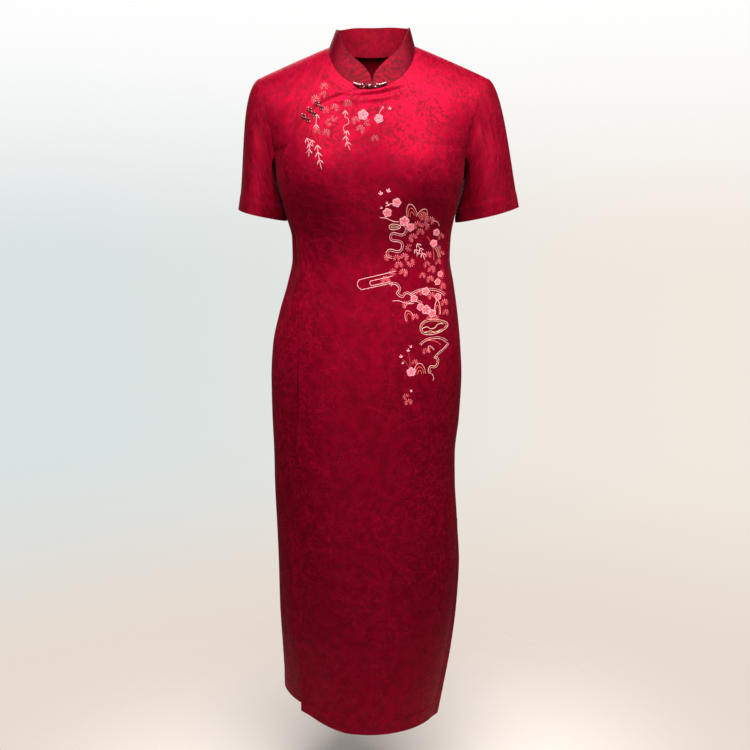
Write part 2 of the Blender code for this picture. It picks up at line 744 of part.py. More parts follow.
def collar_rim_height(along, shoulder_places):
    near_end = np.minimum(along, along[-1] - along)
    part = np.clip(near_end / collar_corner, 0.0, 1.0)
    corner = np.sqrt(1 - (1 - part) ** 2)
    height = collar_front_height + (collar_height - collar_front_height) * corner
    for place in shoulder_places:
        height -= collar_side_dip * np.exp(-(((along - place) / collar_dip_reach) ** 2))
    return height


def make_collar(collection, material):
    base = neckline_curve()
    along = np.concatenate([[0.0], np.cumsum(np.linalg.norm(np.diff(base, axis=0), axis=1))])
    neck_sides = (along[neck_half_columns], along[-1 - neck_half_columns])
    height = collar_rim_height(along, neck_sides)
    centre = base.mean(0)
    lean_share = collar_lean + collar_lean_change * base[:, :1] / neck_half_width
    lean = (base - centre) * np.array([-1.0, -1.0, 0.0]) * lean_share
    lean[:, 1] += collar_back_shift
    upward = lean + np.array([0.0, 0.0, collar_height])
    upward /= np.linalg.norm(upward, axis=1, keepdims=True)
    part = np.linspace(0.0, 1.0, collar_rows + 1)[:, None]
    lift = collar_base_gap + (height - collar_base_gap) * part
    points = base + upward * lift[..., None]
    points[:, 0, 0] += seam_gap / 2
    points[:, -1, 0] -= seam_gap / 2
    inward = np.cross(upward, np.gradient(base, axis=0))
    inward[[0, -1], 0] = 0.0
    inward /= np.linalg.norm(inward, axis=1, keepdims=True)
    inward = np.broadcast_to(inward, points.shape)
    index = np.arange(points.shape[0] * points.shape[1]).reshape(points.shape[:2])
    return make_cloth("collar", points, inward, grid_faces(index, False), collection, material)


def cloth_tree(pieces):
    # one surface of the pieces' outer faces, to seat the metal pieces on
    vertices = []
    polygons = []
    for piece in pieces:
        offset = len(vertices)
        outer = len(piece.data.vertices) // 2
        vertices += [vertex.co.copy() for vertex in piece.data.vertices]
        polygons += [
            [offset + corner for corner in face.vertices]
            for face in piece.data.polygons
            if max(face.vertices) < outer
        ]
    return BVHTree.FromPolygons(vertices, polygons)


def seat(tree, across, height, lift):
    # the point in front of the cloth at a place seen from the front, or just above it
    # where the line of sight would slip through a seam
    start = Vector((across, sight_start, height))
    hit, normal, _, _ = tree.ray_cast(start, Vector((0, 1, 0)))
    while hit is None or hit.y > 0:
        start.z += seam_gap
        hit, normal, _, _ = tree.ray_cast(start, Vector((0, 1, 0)))
    if normal.y > 0:
        normal = -normal
    return hit + normal * lift


def leaf_arc(start, end, near, far, half_width):
    # points round an oval that runs from near to far along the clasp, 0 degrees at near
    middle = (near + far) / 2
    reach = (near - far) / 2
    turns = np.radians(np.linspace(start, end, leaf_points))
    return [(middle + reach * math.cos(turn), half_width * math.sin(turn), 0.0) for turn in turns]


def eye_path(clasp):
    # a ring round the middle that opens into a leaf, one closed wire
    radius = ring_share * clasp.wire
    turns = np.radians(np.linspace(50.0, 310.0, ring_points))
    ring = [(radius * math.cos(turn), radius * math.sin(turn), 0.0) for turn in turns]
    return ring + leaf_arc(-30.0, -330.0, radius, clasp.half_length, clasp.half_width)


def hook_path(clasp):
    # a nose inside the ring, a stem over the ring, then a leaf with a free end
    wire = clasp.wire
    radius = ring_share * wire
    over = 2 * wire + 2 * clasp_clearance
    near = -radius - 3 * wire - clasp_clearance
    stem = [
        (0.10 * radius, 0.0, 0.0),
        (-0.20 * radius, 0.0, 0.5 * over),
        (-0.55 * radius, 0.0, over),
        (-1.30 * radius, 0.0, over),
        (near, 0.15 * wire, 0.35 * over),
    ]
    return stem + leaf_arc(35.0, 322.0, near - wire, -clasp.half_length, clasp.half_width)


def place_path(path, clasp, tree):
    tilt = math.radians(clasp.tilt)
    points = []
    for along, aside, lift in path:
        across = clasp.across + along * math.cos(tilt) - aside * math.sin(tilt)
        height = clasp.height + along * math.sin(tilt) + aside * math.cos(tilt)
        height += clasp.bow * (along / clasp.half_length) ** 2
        points.append(seat(tree, across, height, clasp.wire + clasp_clearance + lift))
    return points


def make_wire(name, points, clasp, closed, nose, collection, material):
    # a bent wire as a mesh of triangles; nose is the size of its first point's section
    curve = bpy.data.curves.new(name, "CURVE")
    curve.dimensions = "3D"
    curve.bevel_depth = clasp.wire
    curve.bevel_resolution = 1
    curve.use_fill_caps = True
    line = curve.splines.new("POLY")
    line.points.add(len(points) - 1)
    for control, point in zip(line.points, points):
        control.co = (*point, 1.0)
    line.points[0].radius = nose
    line.use_cyclic_u = closed
    bent = bpy.data.objects.new(name, curve)
    collection.objects.link(bent)
    graph = bpy.context.evaluated_depsgraph_get()
    mesh = bpy.data.meshes.new_from_object(bent.evaluated_get(graph))
    bpy.data.objects.remove(bent, do_unlink=True)
    form = bmesh.new()
    form.from_mesh(mesh)
    bmesh.ops.remove_doubles(form, verts=form.verts, dist=weld_distance)
    bmesh.ops.triangulate(form, faces=form.faces)
    form.to_mesh(mesh)
    form.free()
    mesh.shade_smooth()
    mesh.materials.clear()
    mesh.materials.append(material)
    wire = bpy.data.objects.new(name, mesh)
    collection.objects.link(wire)


def make_clasp(clasp, tree, collection, material):
    eye = place_path(eye_path(clasp), clasp, tree)
    hook = place_path(hook_path(clasp), clasp, tree)
    make_wire(f"{clasp.name}_eye", eye, clasp, True, 1.0, collection, material)
    make_wire(f"{clasp.name}_hook", hook, clasp, False, nose_share, collection, material)


def main():
    clear_scene()
    dress = make_collection("Cheongsam dress")
    satin = make_material("Red satin", red_satin, 0.45, 0.0)
    bronze = make_material("Dark bronze", dark_bronze, 0.4, 0.9)
    shares = column_shares()
    front_tops = np.full(len(shares), 2.0)
    crossed = (shares >= -armhole_share - edge_band) & (shares < -opening_tip_share / 2)
    front_tops[crossed] = opening_level(shares[crossed])
    pieces = [
        make_panel("front", "front", front_tops, dress, satin),
        make_panel("back", "back", np.full(len(shares), 2.0), dress, satin),
        make_under_piece(dress, satin),
        make_collar(dress, satin),
    ]
    tree = cloth_tree(pieces)
    for sleeve in sleeves:
        make_sleeve(sleeve, tree, dress, satin)
    for clasp in clasps:
        make_clasp(clasp, tree, dress, bronze)


main()
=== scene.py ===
import math
from collections import defaultdict
from functools import partial

import bmesh
import bpy
import numpy as np
from mathutils import Matrix, Vector
from mathutils.bvhtree import BVHTree


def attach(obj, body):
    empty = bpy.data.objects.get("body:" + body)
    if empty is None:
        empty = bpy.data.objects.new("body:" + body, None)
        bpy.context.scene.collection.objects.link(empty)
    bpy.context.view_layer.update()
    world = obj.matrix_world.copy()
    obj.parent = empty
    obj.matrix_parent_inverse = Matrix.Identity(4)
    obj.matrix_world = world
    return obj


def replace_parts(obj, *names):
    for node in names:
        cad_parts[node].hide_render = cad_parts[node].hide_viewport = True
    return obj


# Red satin cheongsam in the hollow form it has when worn: jacquard cloth shells, thread
# embroidery and bronze hook clasps. Metres; the wearer faces -Y, their left side is +X.

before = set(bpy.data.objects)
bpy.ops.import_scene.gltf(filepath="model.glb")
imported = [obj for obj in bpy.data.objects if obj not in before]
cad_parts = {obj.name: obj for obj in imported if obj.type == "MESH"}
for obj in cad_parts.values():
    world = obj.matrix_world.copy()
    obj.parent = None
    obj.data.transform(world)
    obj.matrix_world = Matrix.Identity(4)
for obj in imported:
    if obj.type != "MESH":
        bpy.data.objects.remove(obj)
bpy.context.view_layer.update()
print("dress: frame loaded")


def table(columns, rows):  # one array for each named column
    return dict(zip(columns.split(), np.array(rows, float).T))


def clamp(part):
    return np.clip(part, 0.0, 1.0)


def stops(steps, first=0.0, last=1.0):
    return np.linspace(first, last, steps + 1)


def easeIn(part):
    part = clamp(part)
    return part * part * (3 - 2 * part)


def bell(value, width):
    return np.exp(-((value / width) ** 2))


def signedPower(value, power):
    return np.sign(value) * np.abs(value) ** power


def unit(vectors):
    return vectors / np.linalg.norm(vectors, axis=-1, keepdims=True)


def dim(colour, share):
    return tuple(share * part for part in colour)


def cubic(part, start, leave, end, arrive):
    # from start to end, with these slopes where it leaves and arrives
    return (
        (1 + 2 * part) * (1 - part) ** 2 * start
        + part * (1 - part) ** 2 * leave
        + part**2 * (3 - 2 * part) * end
        + part**2 * (part - 1) * arrive
    )


def smoothColumn(places, values, at):
    # monotone cubic through one column of a table
    step = np.diff(places)
    slope = np.diff(values) / step
    tangent = np.zeros_like(values)
    tangent[0] = slope[0]
    for row in range(1, len(step)):
        if slope[row - 1] * slope[row] > 0:
            tangent[row] = 2 / (1 / slope[row - 1] + 1 / slope[row])
    at = np.clip(at, places[0], places[-1])
    row = np.clip(np.searchsorted(places, at) - 1, 0, len(step) - 1)
    part = (at - places[row]) / step[row]
    return cubic(part, values[row], step[row] * tangent[row], values[row + 1], step[row] * tangent[row + 1])


def setSockets(tree, node, sockets):  # links a value that is itself a socket
    for name, value in sockets.items():
        if isinstance(value, bpy.types.NodeSocket):
            tree.links.new(value, node.inputs[name])
        else:
            node.inputs[name].default_value = value


def addNode(tree, kind, sockets, output=0, **settings):
    # gives one output, or all of them where output is None
    made = tree.nodes.new("ShaderNode" + kind)
    for name, value in settings.items():
        setattr(made, name, value)
    setSockets(tree, made, sockets)
    return made.outputs if output is None else made.outputs[output]


def calc(tree, operation, *values):
    return addNode(tree, "Math", dict(enumerate(values)), operation=operation)


def vectorCalc(tree, operation, *values, scale=None):
    sockets = dict(enumerate(values))
    if scale is not None:
        sockets["Scale"] = scale
    return addNode(tree, "VectorMath", sockets, int(operation == "LENGTH"), operation=operation)


def band(tree, value, low, high):  # eases from 0 at low to 1 at high, or down if low is higher
    sockets = {"Value": value, "From Min": low, "From Max": high}
    return addNode(tree, "MapRange", sockets, interpolation_type="SMOOTHSTEP")


def mixColours(tree, share, *colours):  # two colours, as triples or sockets
    ends = [end if isinstance(end, bpy.types.NodeSocket) else (*end, 1.0) for end in colours]
    return addNode(tree, "Mix", {0: share, 6: ends[0], 7: ends[1]}, 2, data_type="RGBA")


def newMaterial(name):
    material = bpy.data.materials.new(name)
    material.use_nodes = True
    return material, material.node_tree, material.node_tree.nodes["Principled BSDF"]


def addObject(name, data):
    made = bpy.data.objects.new(name, data)
    bpy.context.scene.collection.objects.link(made)
    return made


studio = {
    "cameraPlace": (0.005, -1.41, -0.2135),
    "cameraTilt": 76.0,            # degrees from straight down
    "lens": 37.9,
    "floorHeight": -1.46,
    "floorRadius": 1.25,
    "floorFade": (0.95, 0.20),     # the paper is gone, and whole, at these shares of it
    "floorTint": (0.78, 0.72, 0.67),
    # painted light and shade on the wall: lighter at the top, darker and warmer towards the foot, greyer on
    # the left and warmer on the right
    "topTint": (0.99, 0.99, 0.985),
    "leftTint": (0.70, 0.765, 0.76),
    "rightTint": (0.88, 0.81, 0.735),
    "lowTint": (0.80, 0.70, 0.62),
    "wallSides": (-0.40, 0.40),    # where the wall's tints turn into one another
    "wallTop": (-0.12, 0.20),
    "wallFoot": (-0.30, -0.55),
    "roomGlow": (0.95, 0.97, 1.0),
    "roomStrength": 0.07,
    # name, place, aim, width, height, watts, spread in degrees, colour
    "lights": [
        ("keyAbove", (0.07, -0.6, 0.76), (0.02, -0.1, -0.22), 2.1, 0.5, 38.0, 120, (1.0, 0.97, 0.96)),
        ("frontFill", (0.25, -2.7, -0.55), (0.0, 0.0, -0.75), 1.6, 1.8, 9.2, 180, (1.0, 0.98, 0.98)),
        ("frontMiddle", (-0.3, -2.1, -0.75), (0.0, -0.1, -0.27), 1.0, 0.4, 0.65, 60, (1.0, 0.97, 0.97)),
        ("leftSide", (-2.0, -0.9, 0.1), (0.0, 0.0, -0.6), 1.0, 1.8, 0.8, 180, (0.92, 0.96, 1.0)),
        ("rightSide", (2.0, -0.9, 0.1), (0.0, 0.0, -0.6), 1.0, 1.8, 6.4, 180, (1.0, 0.94, 0.86)),
        ("backAbove", (-0.3, 1.8, 0.75), (0.0, 0.1, -0.45), 1.6, 0.8, 10.0, 120, (1.0, 0.98, 0.97)),
        ("backFill", (0.3, 2.7, -0.4), (0.0, 0.0, -0.75), 1.6, 1.8, 11.0, 180, (1.0, 0.98, 0.98)),
    ],
}


def makeRoom():
    # a dim room for the light, and a pale wall where the camera looks past the dress, its tints painted
    # light and shade
    world = bpy.data.worlds.new("softRoom")
    world.use_nodes = True
    tree = world.node_tree
    tree.nodes.clear()
    ahead = addNode(tree, "TexCoord", {}, "Generated")
    across, _, upward = addNode(tree, "SeparateXYZ", {0: ahead}, None)
    side = band(tree, across, *studio["wallSides"])
    wall = mixColours(tree, side, studio["leftTint"], studio["rightTint"])
    wall = mixColours(tree, band(tree, upward, *studio["wallTop"]), wall, studio["topTint"])
    wall = mixColours(tree, band(tree, upward, *studio["wallFoot"]), wall, studio["lowTint"])
    seen = addNode(tree, "Background", {"Color": wall})
    glow = {"Color": (*studio["roomGlow"], 1.0), "Strength": studio["roomStrength"]}
    unseen = addNode(tree, "Background", glow)
    share = addNode(tree, "LightPath", {}, "Is Camera Ray")
    both = addNode(tree, "MixShader", {0: share, 1: unseen, 2: seen})
    addNode(tree, "OutputWorld", {"Surface": both}, None)
    bpy.context.scene.world = world


def makeStudio():
    camera = addObject("camera", bpy.data.cameras.new("camera"))
    camera.data.lens = studio["lens"]
    camera.data.sensor_width = 36.0
    camera.location = studio["cameraPlace"]
    camera.rotation_euler = (math.radians(studio["cameraTilt"]), 0.0, 0.0)
    bpy.context.scene.camera = camera
    for name, place, aim, width, height, watts, spread, colour in studio["lights"]:
        lamp = bpy.data.lights.new(name, "AREA")
        lamp.shape = "RECTANGLE"
        lamp.size, lamp.size_y = width, height
        lamp.energy = watts
        lamp.spread = math.radians(spread)
        lamp.color = colour
        holder = addObject(name, lamp)
        holder.location = place
        holder.rotation_euler = (Vector(aim) - Vector(place)).to_track_quat("-Z", "Y").to_euler()
    makeRoom()
    bpy.context.scene.view_settings.view_transform = "Standard"


def makeFloor():
    # a round sheet of paper under the dress, which fades out into the pale wall
    mesh = bpy.data.meshes.new("paperFloor")
    form = bmesh.new()
    bmesh.ops.create_circle(form, cap_ends=True, segments=96, radius=studio["floorRadius"])
    form.to_mesh(mesh)
    form.free()
    paper, tree, shader = newMaterial("palePaper")
    place = addNode(tree, "TexCoord", {}, "Object")
    grain = addNode(tree, "TexNoise", {"Vector": place, "Scale": 1.4, "Detail": 2.0})
    fade = dim(studio["floorFade"], studio["floorRadius"])
    solid = band(tree, vectorCalc(tree, "LENGTH", place), *fade)
    setSockets(tree, shader, {
        "Base Color": mixColours(tree, grain, dim(studio["floorTint"], 0.94), studio["floorTint"]),
        "Roughness": 0.9,
        "Alpha": calc(tree, "MULTIPLY", solid, solid),
    })
    mesh.materials.append(paper)
    floor = addObject("paperFloor", mesh)
    floor.location = (0.0, 0.0, studio["floorHeight"])


makeStudio()
makeFloor()
print("dress: studio set")


satin = {
    "ground": (0.225, 0.0005, 0.0128),
    "stroke": (0.138, 0.0004, 0.008),
    "twig": (0.205, 0.0004, 0.0125),
    "wrongSide": (0.16, 0.0015, 0.008),
    "groundRough": 0.50,
    "figureRough": 0.62,
    "wrongRough": (0.62, 0.70),
    "metallic": 0.62,
    "figureMetallic": 0.06,      # the figure is duller in the light than the ground
    "sheen": 0.03,
    "sheenTint": (1.0, 0.25, 0.30, 1.0),
    "glossTint": (1.0, 0.30, 0.32, 1.0),
    # metres on the cloth
    "bendSize": 0.03,            # the twigs' crooked turns
    "bendReach": 0.016,
    "branchCell": 0.046,         # the twigs' network
    "branchWidth": 0.0026,
    "twigCell": 0.021,
    "twigWidth": 0.0017,
    "blossomCell": 0.030,
    "blossomRadius": 0.0058,
    "blossomEdge": (0.0, 0.0004),
    "blossomEye": (0.0007, 0.0012),
    "leafCell": 0.0125,
    "leafShape": (240.0, 640.0, 0.0),   # one over its half length and half width
    "shadeSize": 0.19,
    "threadRise": 0.00003,
    "figureRise": 0.00010,
    # size of the noise, and its values where these begin and are whole
    "branchPieces": (0.028, 0.44, 0.52),
    "twigPieces": (0.016, 0.50, 0.56),
    "clusters": (0.08, 0.38, 0.52),
    "strokes": (0.0065, 0.45, 0.56),
    "crowds": (0.050, 0.38, 0.54),
    "patches": (0.020, 0.40, 0.62),
    # shares
    "blossomChance": (0.42, 0.44),
    "leafChance": (0.30, 0.32),
    "petalDepth": 0.20,
    "patchDepth": 0.22,
    "shadeDepth": 0.22,
    "threadGrain": (2600.0, 260.0, 1.0),
}


def linesOf(tree, place, cell, width):
    # thin lines along the borders of irregular cells
    sockets = {"Vector": place, "Scale": 1 / cell}
    edge = addNode(tree, "TexVoronoi", sockets, 0, voronoi_dimensions="2D", feature="DISTANCE_TO_EDGE")
    return band(tree, edge, 0.62 * width / cell, 0.38 * width / cell)


def noiseOf(tree, place, size, detail=1.0, output=0):
    sockets = {"Vector": place, "Scale": 1 / size, "Detail": detail}
    return addNode(tree, "TexNoise", sockets, output, noise_dimensions="2D")


def noiseBand(tree, place, name, detail=1.0):
    size, low, high = satin[name]
    return band(tree, noiseOf(tree, place, size, detail), low, high)


def spotsOf(tree, place, cell):
    # place within each irregular cell as seen from its own middle, and its random numbers
    sockets = {"Vector": place, "Scale": 1 / cell}
    cells = addNode(tree, "TexVoronoi", sockets, None, voronoi_dimensions="2D")
    turn, chance, _ = addNode(tree, "SeparateColor", {"Color": cells["Color"]}, None)
    return vectorCalc(tree, "SUBTRACT", place, cells["Position"]), turn, chance


def jacquardFigure(tree, place):
    # plum twigs with blossoms and small leaves, in loose clusters on the satin ground
    ease, maths = partial(band, tree), partial(calc, tree)
    times, most = partial(maths, "MULTIPLY"), partial(maths, "MAXIMUM")
    bend = noiseOf(tree, place, satin["bendSize"], 2.0, "Color")
    bend = vectorCalc(tree, "SUBTRACT", bend, (0.5, 0.5, 0.5))
    bend = vectorCalc(tree, "SCALE", bend, scale=satin["bendReach"])
    crooked = vectorCalc(tree, "ADD", place, bend)
    branches = linesOf(tree, crooked, satin["branchCell"], satin["branchWidth"])
    branches = times(branches, noiseBand(tree, place, "branchPieces"))
    twigs = linesOf(tree, crooked, satin["twigCell"], satin["twigWidth"])
    twigs = times(twigs, noiseBand(tree, crooked, "twigPieces"))

    own, turn, chance = spotsOf(tree, place, satin["blossomCell"])
    right, up, _ = addNode(tree, "SeparateXYZ", {0: own}, None)
    around = maths("MULTIPLY_ADD", maths("ARCTAN2", up, right), 5.0, times(turn, 40.0))
    petal = maths("MULTIPLY_ADD", maths("COSINE", around), satin["petalDepth"], 1.0 - satin["petalDepth"])
    reach = vectorCalc(tree, "LENGTH", own)
    depth = maths("SUBTRACT", times(petal, satin["blossomRadius"]), reach)
    blossom = times(ease(depth, *satin["blossomEdge"]), ease(reach, *satin["blossomEye"]))
    blossom = times(blossom, ease(chance, *satin["blossomChance"]))

    own, turn, chance = spotsOf(tree, crooked, satin["leafCell"])
    sockets = {"Vector": own, "Angle": times(turn, 6.3)}
    own = addNode(tree, "VectorRotate", sockets, rotation_type="Z_AXIS")
    leaf = vectorCalc(tree, "LENGTH", vectorCalc(tree, "MULTIPLY", own, satin["leafShape"]))
    leaf = times(ease(leaf, 1.1, 0.9), ease(chance, *satin["leafChance"]))

    figure = most(most(branches, twigs), most(blossom, leaf))
    cluster = noiseBand(tree, place, "clusters", 2.0)
    twig = times(figure, maths("MULTIPLY_ADD", cluster, 0.70, 0.15))
    # short strokes crowd together between the twigs
    crowd = noiseBand(tree, place, "crowds", 3.0)
    stroke = noiseBand(tree, crooked, "strokes", 3.0)
    return twig, times(stroke, maths("MULTIPLY_ADD", crowd, 0.60, 0.40))


def makeSatin(name, side="ground", depth=1.0, figured=1.0):
    # depth darkens the cloth, and figured is how strongly its figures show
    material, tree, shader = newMaterial(name)
    maths = partial(calc, tree)
    place = addNode(tree, "UVMap", {}, uv_map="cloth")
    twig, stroke = (maths("MULTIPLY", part, figured) for part in jacquardFigure(tree, place))
    figure = maths("MAXIMUM", twig, stroke)
    woven = mixColours(tree, stroke, dim(satin[side], depth), dim(satin["stroke"], depth))
    woven = mixColours(tree, twig, woven, dim(satin["twig"], depth))
    # slow changes of tone, and smaller patches where the weave turns
    shade = noiseOf(tree, place, satin["shadeSize"], 3.0)
    shade = maths("MULTIPLY_ADD", shade, satin["shadeDepth"], 1.0 - satin["shadeDepth"] / 2)
    patch = noiseBand(tree, place, "patches", 4.0)
    patch = maths("MULTIPLY_ADD", patch, -satin["patchDepth"], 1.0 + 0.4 * satin["patchDepth"])
    even, marked = satin["groundRough"], satin["figureRough"]
    if side == "wrongSide":
        even, marked = satin["wrongRough"]
    else:
        duller = satin["figureMetallic"] - satin["metallic"]
        metallic = maths("MULTIPLY_ADD", figure, duller, satin["metallic"])
        setSockets(tree, shader, {"Metallic": metallic})
    threads = addNode(tree, "Mapping", {"Vector": place, "Scale": satin["threadGrain"]})
    threads = noiseOf(tree, threads, 1.0, 2.0)
    relief = maths("MULTIPLY", figure, satin["figureRise"])
    relief = maths("MULTIPLY_ADD", threads, satin["threadRise"], relief)
    setSockets(tree, shader, {
        "Base Color": vectorCalc(tree, "SCALE", woven, scale=maths("MULTIPLY", shade, patch)),
        "Roughness": maths("MULTIPLY_ADD", figure, marked - even, even),
        "Normal": addNode(tree, "Bump", {"Height": relief, "Distance": 1.0, "Strength": 0.55}),
        "Sheen Weight": satin["sheen"],
        "Sheen Roughness": 0.4,
        "Sheen Tint": satin["sheenTint"],
        "Specular IOR Level": 0.12,
        "Specular Tint": satin["glossTint"],
    })
    return material


rightSide = makeSatin("redSatinJacquard")
wrongSide = makeSatin("redSatinWrongSide", "wrongSide")
# painted shade: the collar's satin is made much darker, standing in for the shade that falls on it round
# the neck
collarShadedSatin = makeSatin("redSatinCollarPaintedShade", depth=0.38, figured=0.9)
sleeveShadedSatin = makeSatin("redSatinSleevePaintedShade", depth=0.84)  # painted shade: darker satin stands in for the shade on the sleeves under light from above
print("dress: satin made")


dress = {
    "thickness": 0.0012,
    "rimShare": 0.32,              # how far the wall's edges are rounded, in thicknesses
    "rimAngle": 65.0,
    "hemHeight": -1.247,
    "rightHemLiftFront": 0.0225,   # the hem rides up at the right slit
    "rightHemLiftBack": 0.0365,
    "frontLiftStart": 0.4,
    "frontLiftPower": 1.3,
    "backLiftReach": 0.85,
    "hemFadeLevel": 0.30,
    "slitTop": -0.840,
    "slitLift": 0.0045,            # the front stands off the back beside a slit
    "slitLap": 0.0050,             # and lies this far over it at the hem
    "slitLiftLength": 0.100,
    "slitLapLength": 0.360,
    "slitEaseWidth": 0.035,
    "slitEaseLength": 0.012,
    "creaseTaper": 0.35,           # how much lower a crease is at its ends
    "creaseEndShare": 1.5,         # and how far they fade, in half widths
    "underarm": -0.215,
    "underarmPower": 1.6,
    "bust": -0.200,
    "armholeTurn": -0.178,
    "shoulderTipHalf": 0.1945,
    "shoulderCentre": 0.0025,
    "shoulderSlope": 0.4325,
    "shoulderRound": 0.040,
    "ridgeDepth": 0.008,
    "ridgeHalfWidth": 0.270,
    "risePower": {"front": 0.75, "back": 1.0},
    "neckHalfWidth": 0.0717,
    "neckDrop": {"front": 0.0735, "back": 0.008},
    "neckShare": 0.36,             # share of a half panel taken by the neckline
    "armholeShare": 0.80,          # and out to the armhole's turn
    "bodyRadius": 0.146,
    "halfWidth": 0.210,
    "skirtLength": 1.05,
    "chestLength": 0.13,
    "hemBand": 0.032,              # depth of the turned hem
    "hemBandRise": 0.0007,
    "bandEdge": 0.004,
    "slitBand": 0.022,
    "armholeDip": 0.0008,          # the seams draw the cloth in a little
    "armholeDipWidth": 0.0045,
    "sideSeamLap": 0.0009,         # the front's edge runs this far over the back's
    "sideSeamRise": 0.0002,
    "sideSeamWidth": 0.0025,
    "lapStart": 0.93,              # the laps grow from this share of the front
    "solveSteps": 30,
}
facing = {"front": -1, "back": 1}  # which way along Y each face looks

sections = table("height right left front back boxiness turn", [
    (-1.29, -0.181, 0.128, 0.11, 0.106, 1.95, -11), (-1.25, -0.181, 0.132, 0.11, 0.106, 1.95, -10),
    (-1.19, -0.18, 0.1405, 0.109, 0.104, 2, -7.5), (-1.11, -0.181, 0.1517, 0.108, 0.102, 2.1, -4.5),
    (-1.025, -0.1825, 0.1598, 0.107, 0.1, 2.25, -2), (-0.94, -0.182, 0.1635, 0.106, 0.101, 2.25, 0),
    (-0.855, -0.183, 0.1625, 0.105, 0.104, 2.25, 0), (-0.77, -0.1845, 0.1565, 0.104, 0.109, 2.25, 0),
    (-0.71, -0.184, 0.155, 0.104, 0.114, 2.25, 0), (-0.64, -0.185, 0.161, 0.105, 0.119, 2.2, 0),
    (-0.565, -0.184, 0.1635, 0.105, 0.12, 2.2, 0), (-0.505, -0.1795, 0.1598, 0.102, 0.113, 2.2, 0),
    (-0.445, -0.166, 0.153, 0.097, 0.101, 2.2, 0), (-0.395, -0.151, 0.1455, 0.092, 0.089, 2.2, 0),
    (-0.35, -0.1415, 0.1385, 0.09, 0.081, 2.2, 0), (-0.315, -0.141, 0.1385, 0.094, 0.081, 2.25, 0),
    (-0.28, -0.149, 0.143, 0.101, 0.087, 2.35, 0), (-0.24, -0.158, 0.151, 0.107, 0.094, 2.5, 0),
    (-0.2, -0.164, 0.157, 0.109, 0.097, 2.6, 0),
])

# side seams as angles round the body, degrees from the front centre
seamPlaces = table("height right left", [
    (-1.26, -38, 80), (-1.14, -42, 82), (-1.05, -48, 84), (-0.92, -51, 88), (-0.84, -52, 91),
    (-0.76, -46, 94), (-0.57, -41, 97), (-0.46, -42, 97), (-0.38, -46, 96), (-0.32, -53, 94),
    (-0.265, -68, 92), (-0.215, -90, 90), (-0.15, -90, 90),
])

# broad swells; face is -1 on the front and 1 on the back
swells = table("face across height radius rise", [
    (-1, -0.078, -0.208, 0.055, 0.01), (-1, 0.076, -0.208, 0.055, 0.01),
    (1, -0.075, -0.56, 0.075, 0.006), (1, 0.062, -0.56, 0.075, 0.006), (1, -0.075, -0.13, 0.07, 0.005),
    (1, 0.078, -0.13, 0.07, 0.005),
])

# creases: soft ridges (rise above 0) and troughs from one place to another, a place
# being an angle round the body in degrees and a height
creases = table("angle0 height0 angle1 height1 halfWidth rise", [
    (-9, -0.083, 0, -0.08, 0.0042, 0.0017), (0, -0.08, 10, -0.067, 0.0042, 0.0021),
    (-2, -0.089, 8, -0.0775, 0.0042, -0.0022), (-10.5, -0.0935, 1, -0.09, 0.0045, 0.0017),
    (1, -0.09, 9.5, -0.081, 0.0045, 0.0019), (-17, -0.045, -11.5, -0.064, 0.0045, 0.0014),
    (-46, -0.222, -61, -0.28, 0.0035, 0.001), (40, -0.17, 54, -0.27, 0.0035, 0.001),
    (-62, -0.26, -48, -0.43, 0.016, 0.003), (-74, -0.27, -66, -0.38, 0.014, -0.003),
    (64, -0.25, 52, -0.4, 0.016, -0.0028), (-68, -0.46, -78, -0.36, 0.02, -0.0035),
    (70, -0.46, 82, -0.35, 0.02, -0.003), (-25, -0.62, -30, -1.1, 0.035, 0.003),
    (22, -0.66, 18, -1.15, 0.04, 0.003), (0, -0.64, -4, -1.2, 0.035, -0.0025),
    (150, -0.7, 156, -1.24, 0.04, 0.004), (-150, -0.7, -154, -1.24, 0.04, 0.004),
    (180, -0.7, 180, -1.22, 0.045, -0.004), (140, -0.43, 170, -0.39, 0.016, 0.0035),
    (-140, -0.44, -168, -0.4, 0.016, 0.0035), (146, -0.37, 172, -0.35, 0.015, -0.003),
    (-146, -0.38, -170, -0.355, 0.015, -0.003),
])

openingPath = table("across height", [
    (-0.17, -0.193), (-0.15, -0.178), (-0.136, -0.16), (-0.1214, -0.1376), (-0.1047, -0.118),
    (-0.0835, -0.1), (-0.058, -0.088), (-0.03, -0.08), (0, -0.0735),
])


def sectionValue(column, height):
    return smoothColumn(sections["height"], sections[column], height)


def seamAngle(column, height):
    return np.radians(smoothColumn(seamPlaces["height"], seamPlaces[column], height))


def bodyPoint(angle, height):
    # below the bust: a point of the cross-section at its height
    right, left = sectionValue("right", height), sectionValue("left", height)
    power = 2 / sectionValue("boxiness", height)
    turn = np.radians(sectionValue("turn", height))
    depth = np.where(np.cos(angle) > 0, sectionValue("front", height), sectionValue("back", height))
    across = (left - right) / 2 * signedPower(np.sin(angle), power)
    along = -depth * signedPower(np.cos(angle), power)
    x = (left + right) / 2 + across * np.cos(turn) - along * np.sin(turn)
    y = across * np.sin(turn) + along * np.cos(turn)
    return np.stack([x, y, height + 0 * x], -1)


bustRow = {column: values[-1] for column, values in sections.items()}
bustHalfWidth = (bustRow["left"] - bustRow["right"]) / 2
bustCentre = (bustRow["left"] + bustRow["right"]) / 2
bustPower = 2 / bustRow["boxiness"]


def chestSpan(rise):
    # the chest's centre and half width above the bust line, where rise is 0; it is a
    # quarter turn on the shoulder
    grow = 1 - np.cos(rise)
    centre = bustCentre + (dress["shoulderCentre"] - bustCentre) * grow
    return centre, bustHalfWidth + (dress["ridgeHalfWidth"] - bustHalfWidth) * grow


def ridgeOver(side):
    # height of the shoulder's ridge over a share of its half width
    across = dress["ridgeHalfWidth"] * side
    fromCentre = np.sqrt(across**2 + dress["shoulderRound"] ** 2)
    atNeck = math.hypot(dress["neckHalfWidth"], dress["shoulderRound"])
    return -dress["shoulderSlope"] * (fromCentre - atNeck)


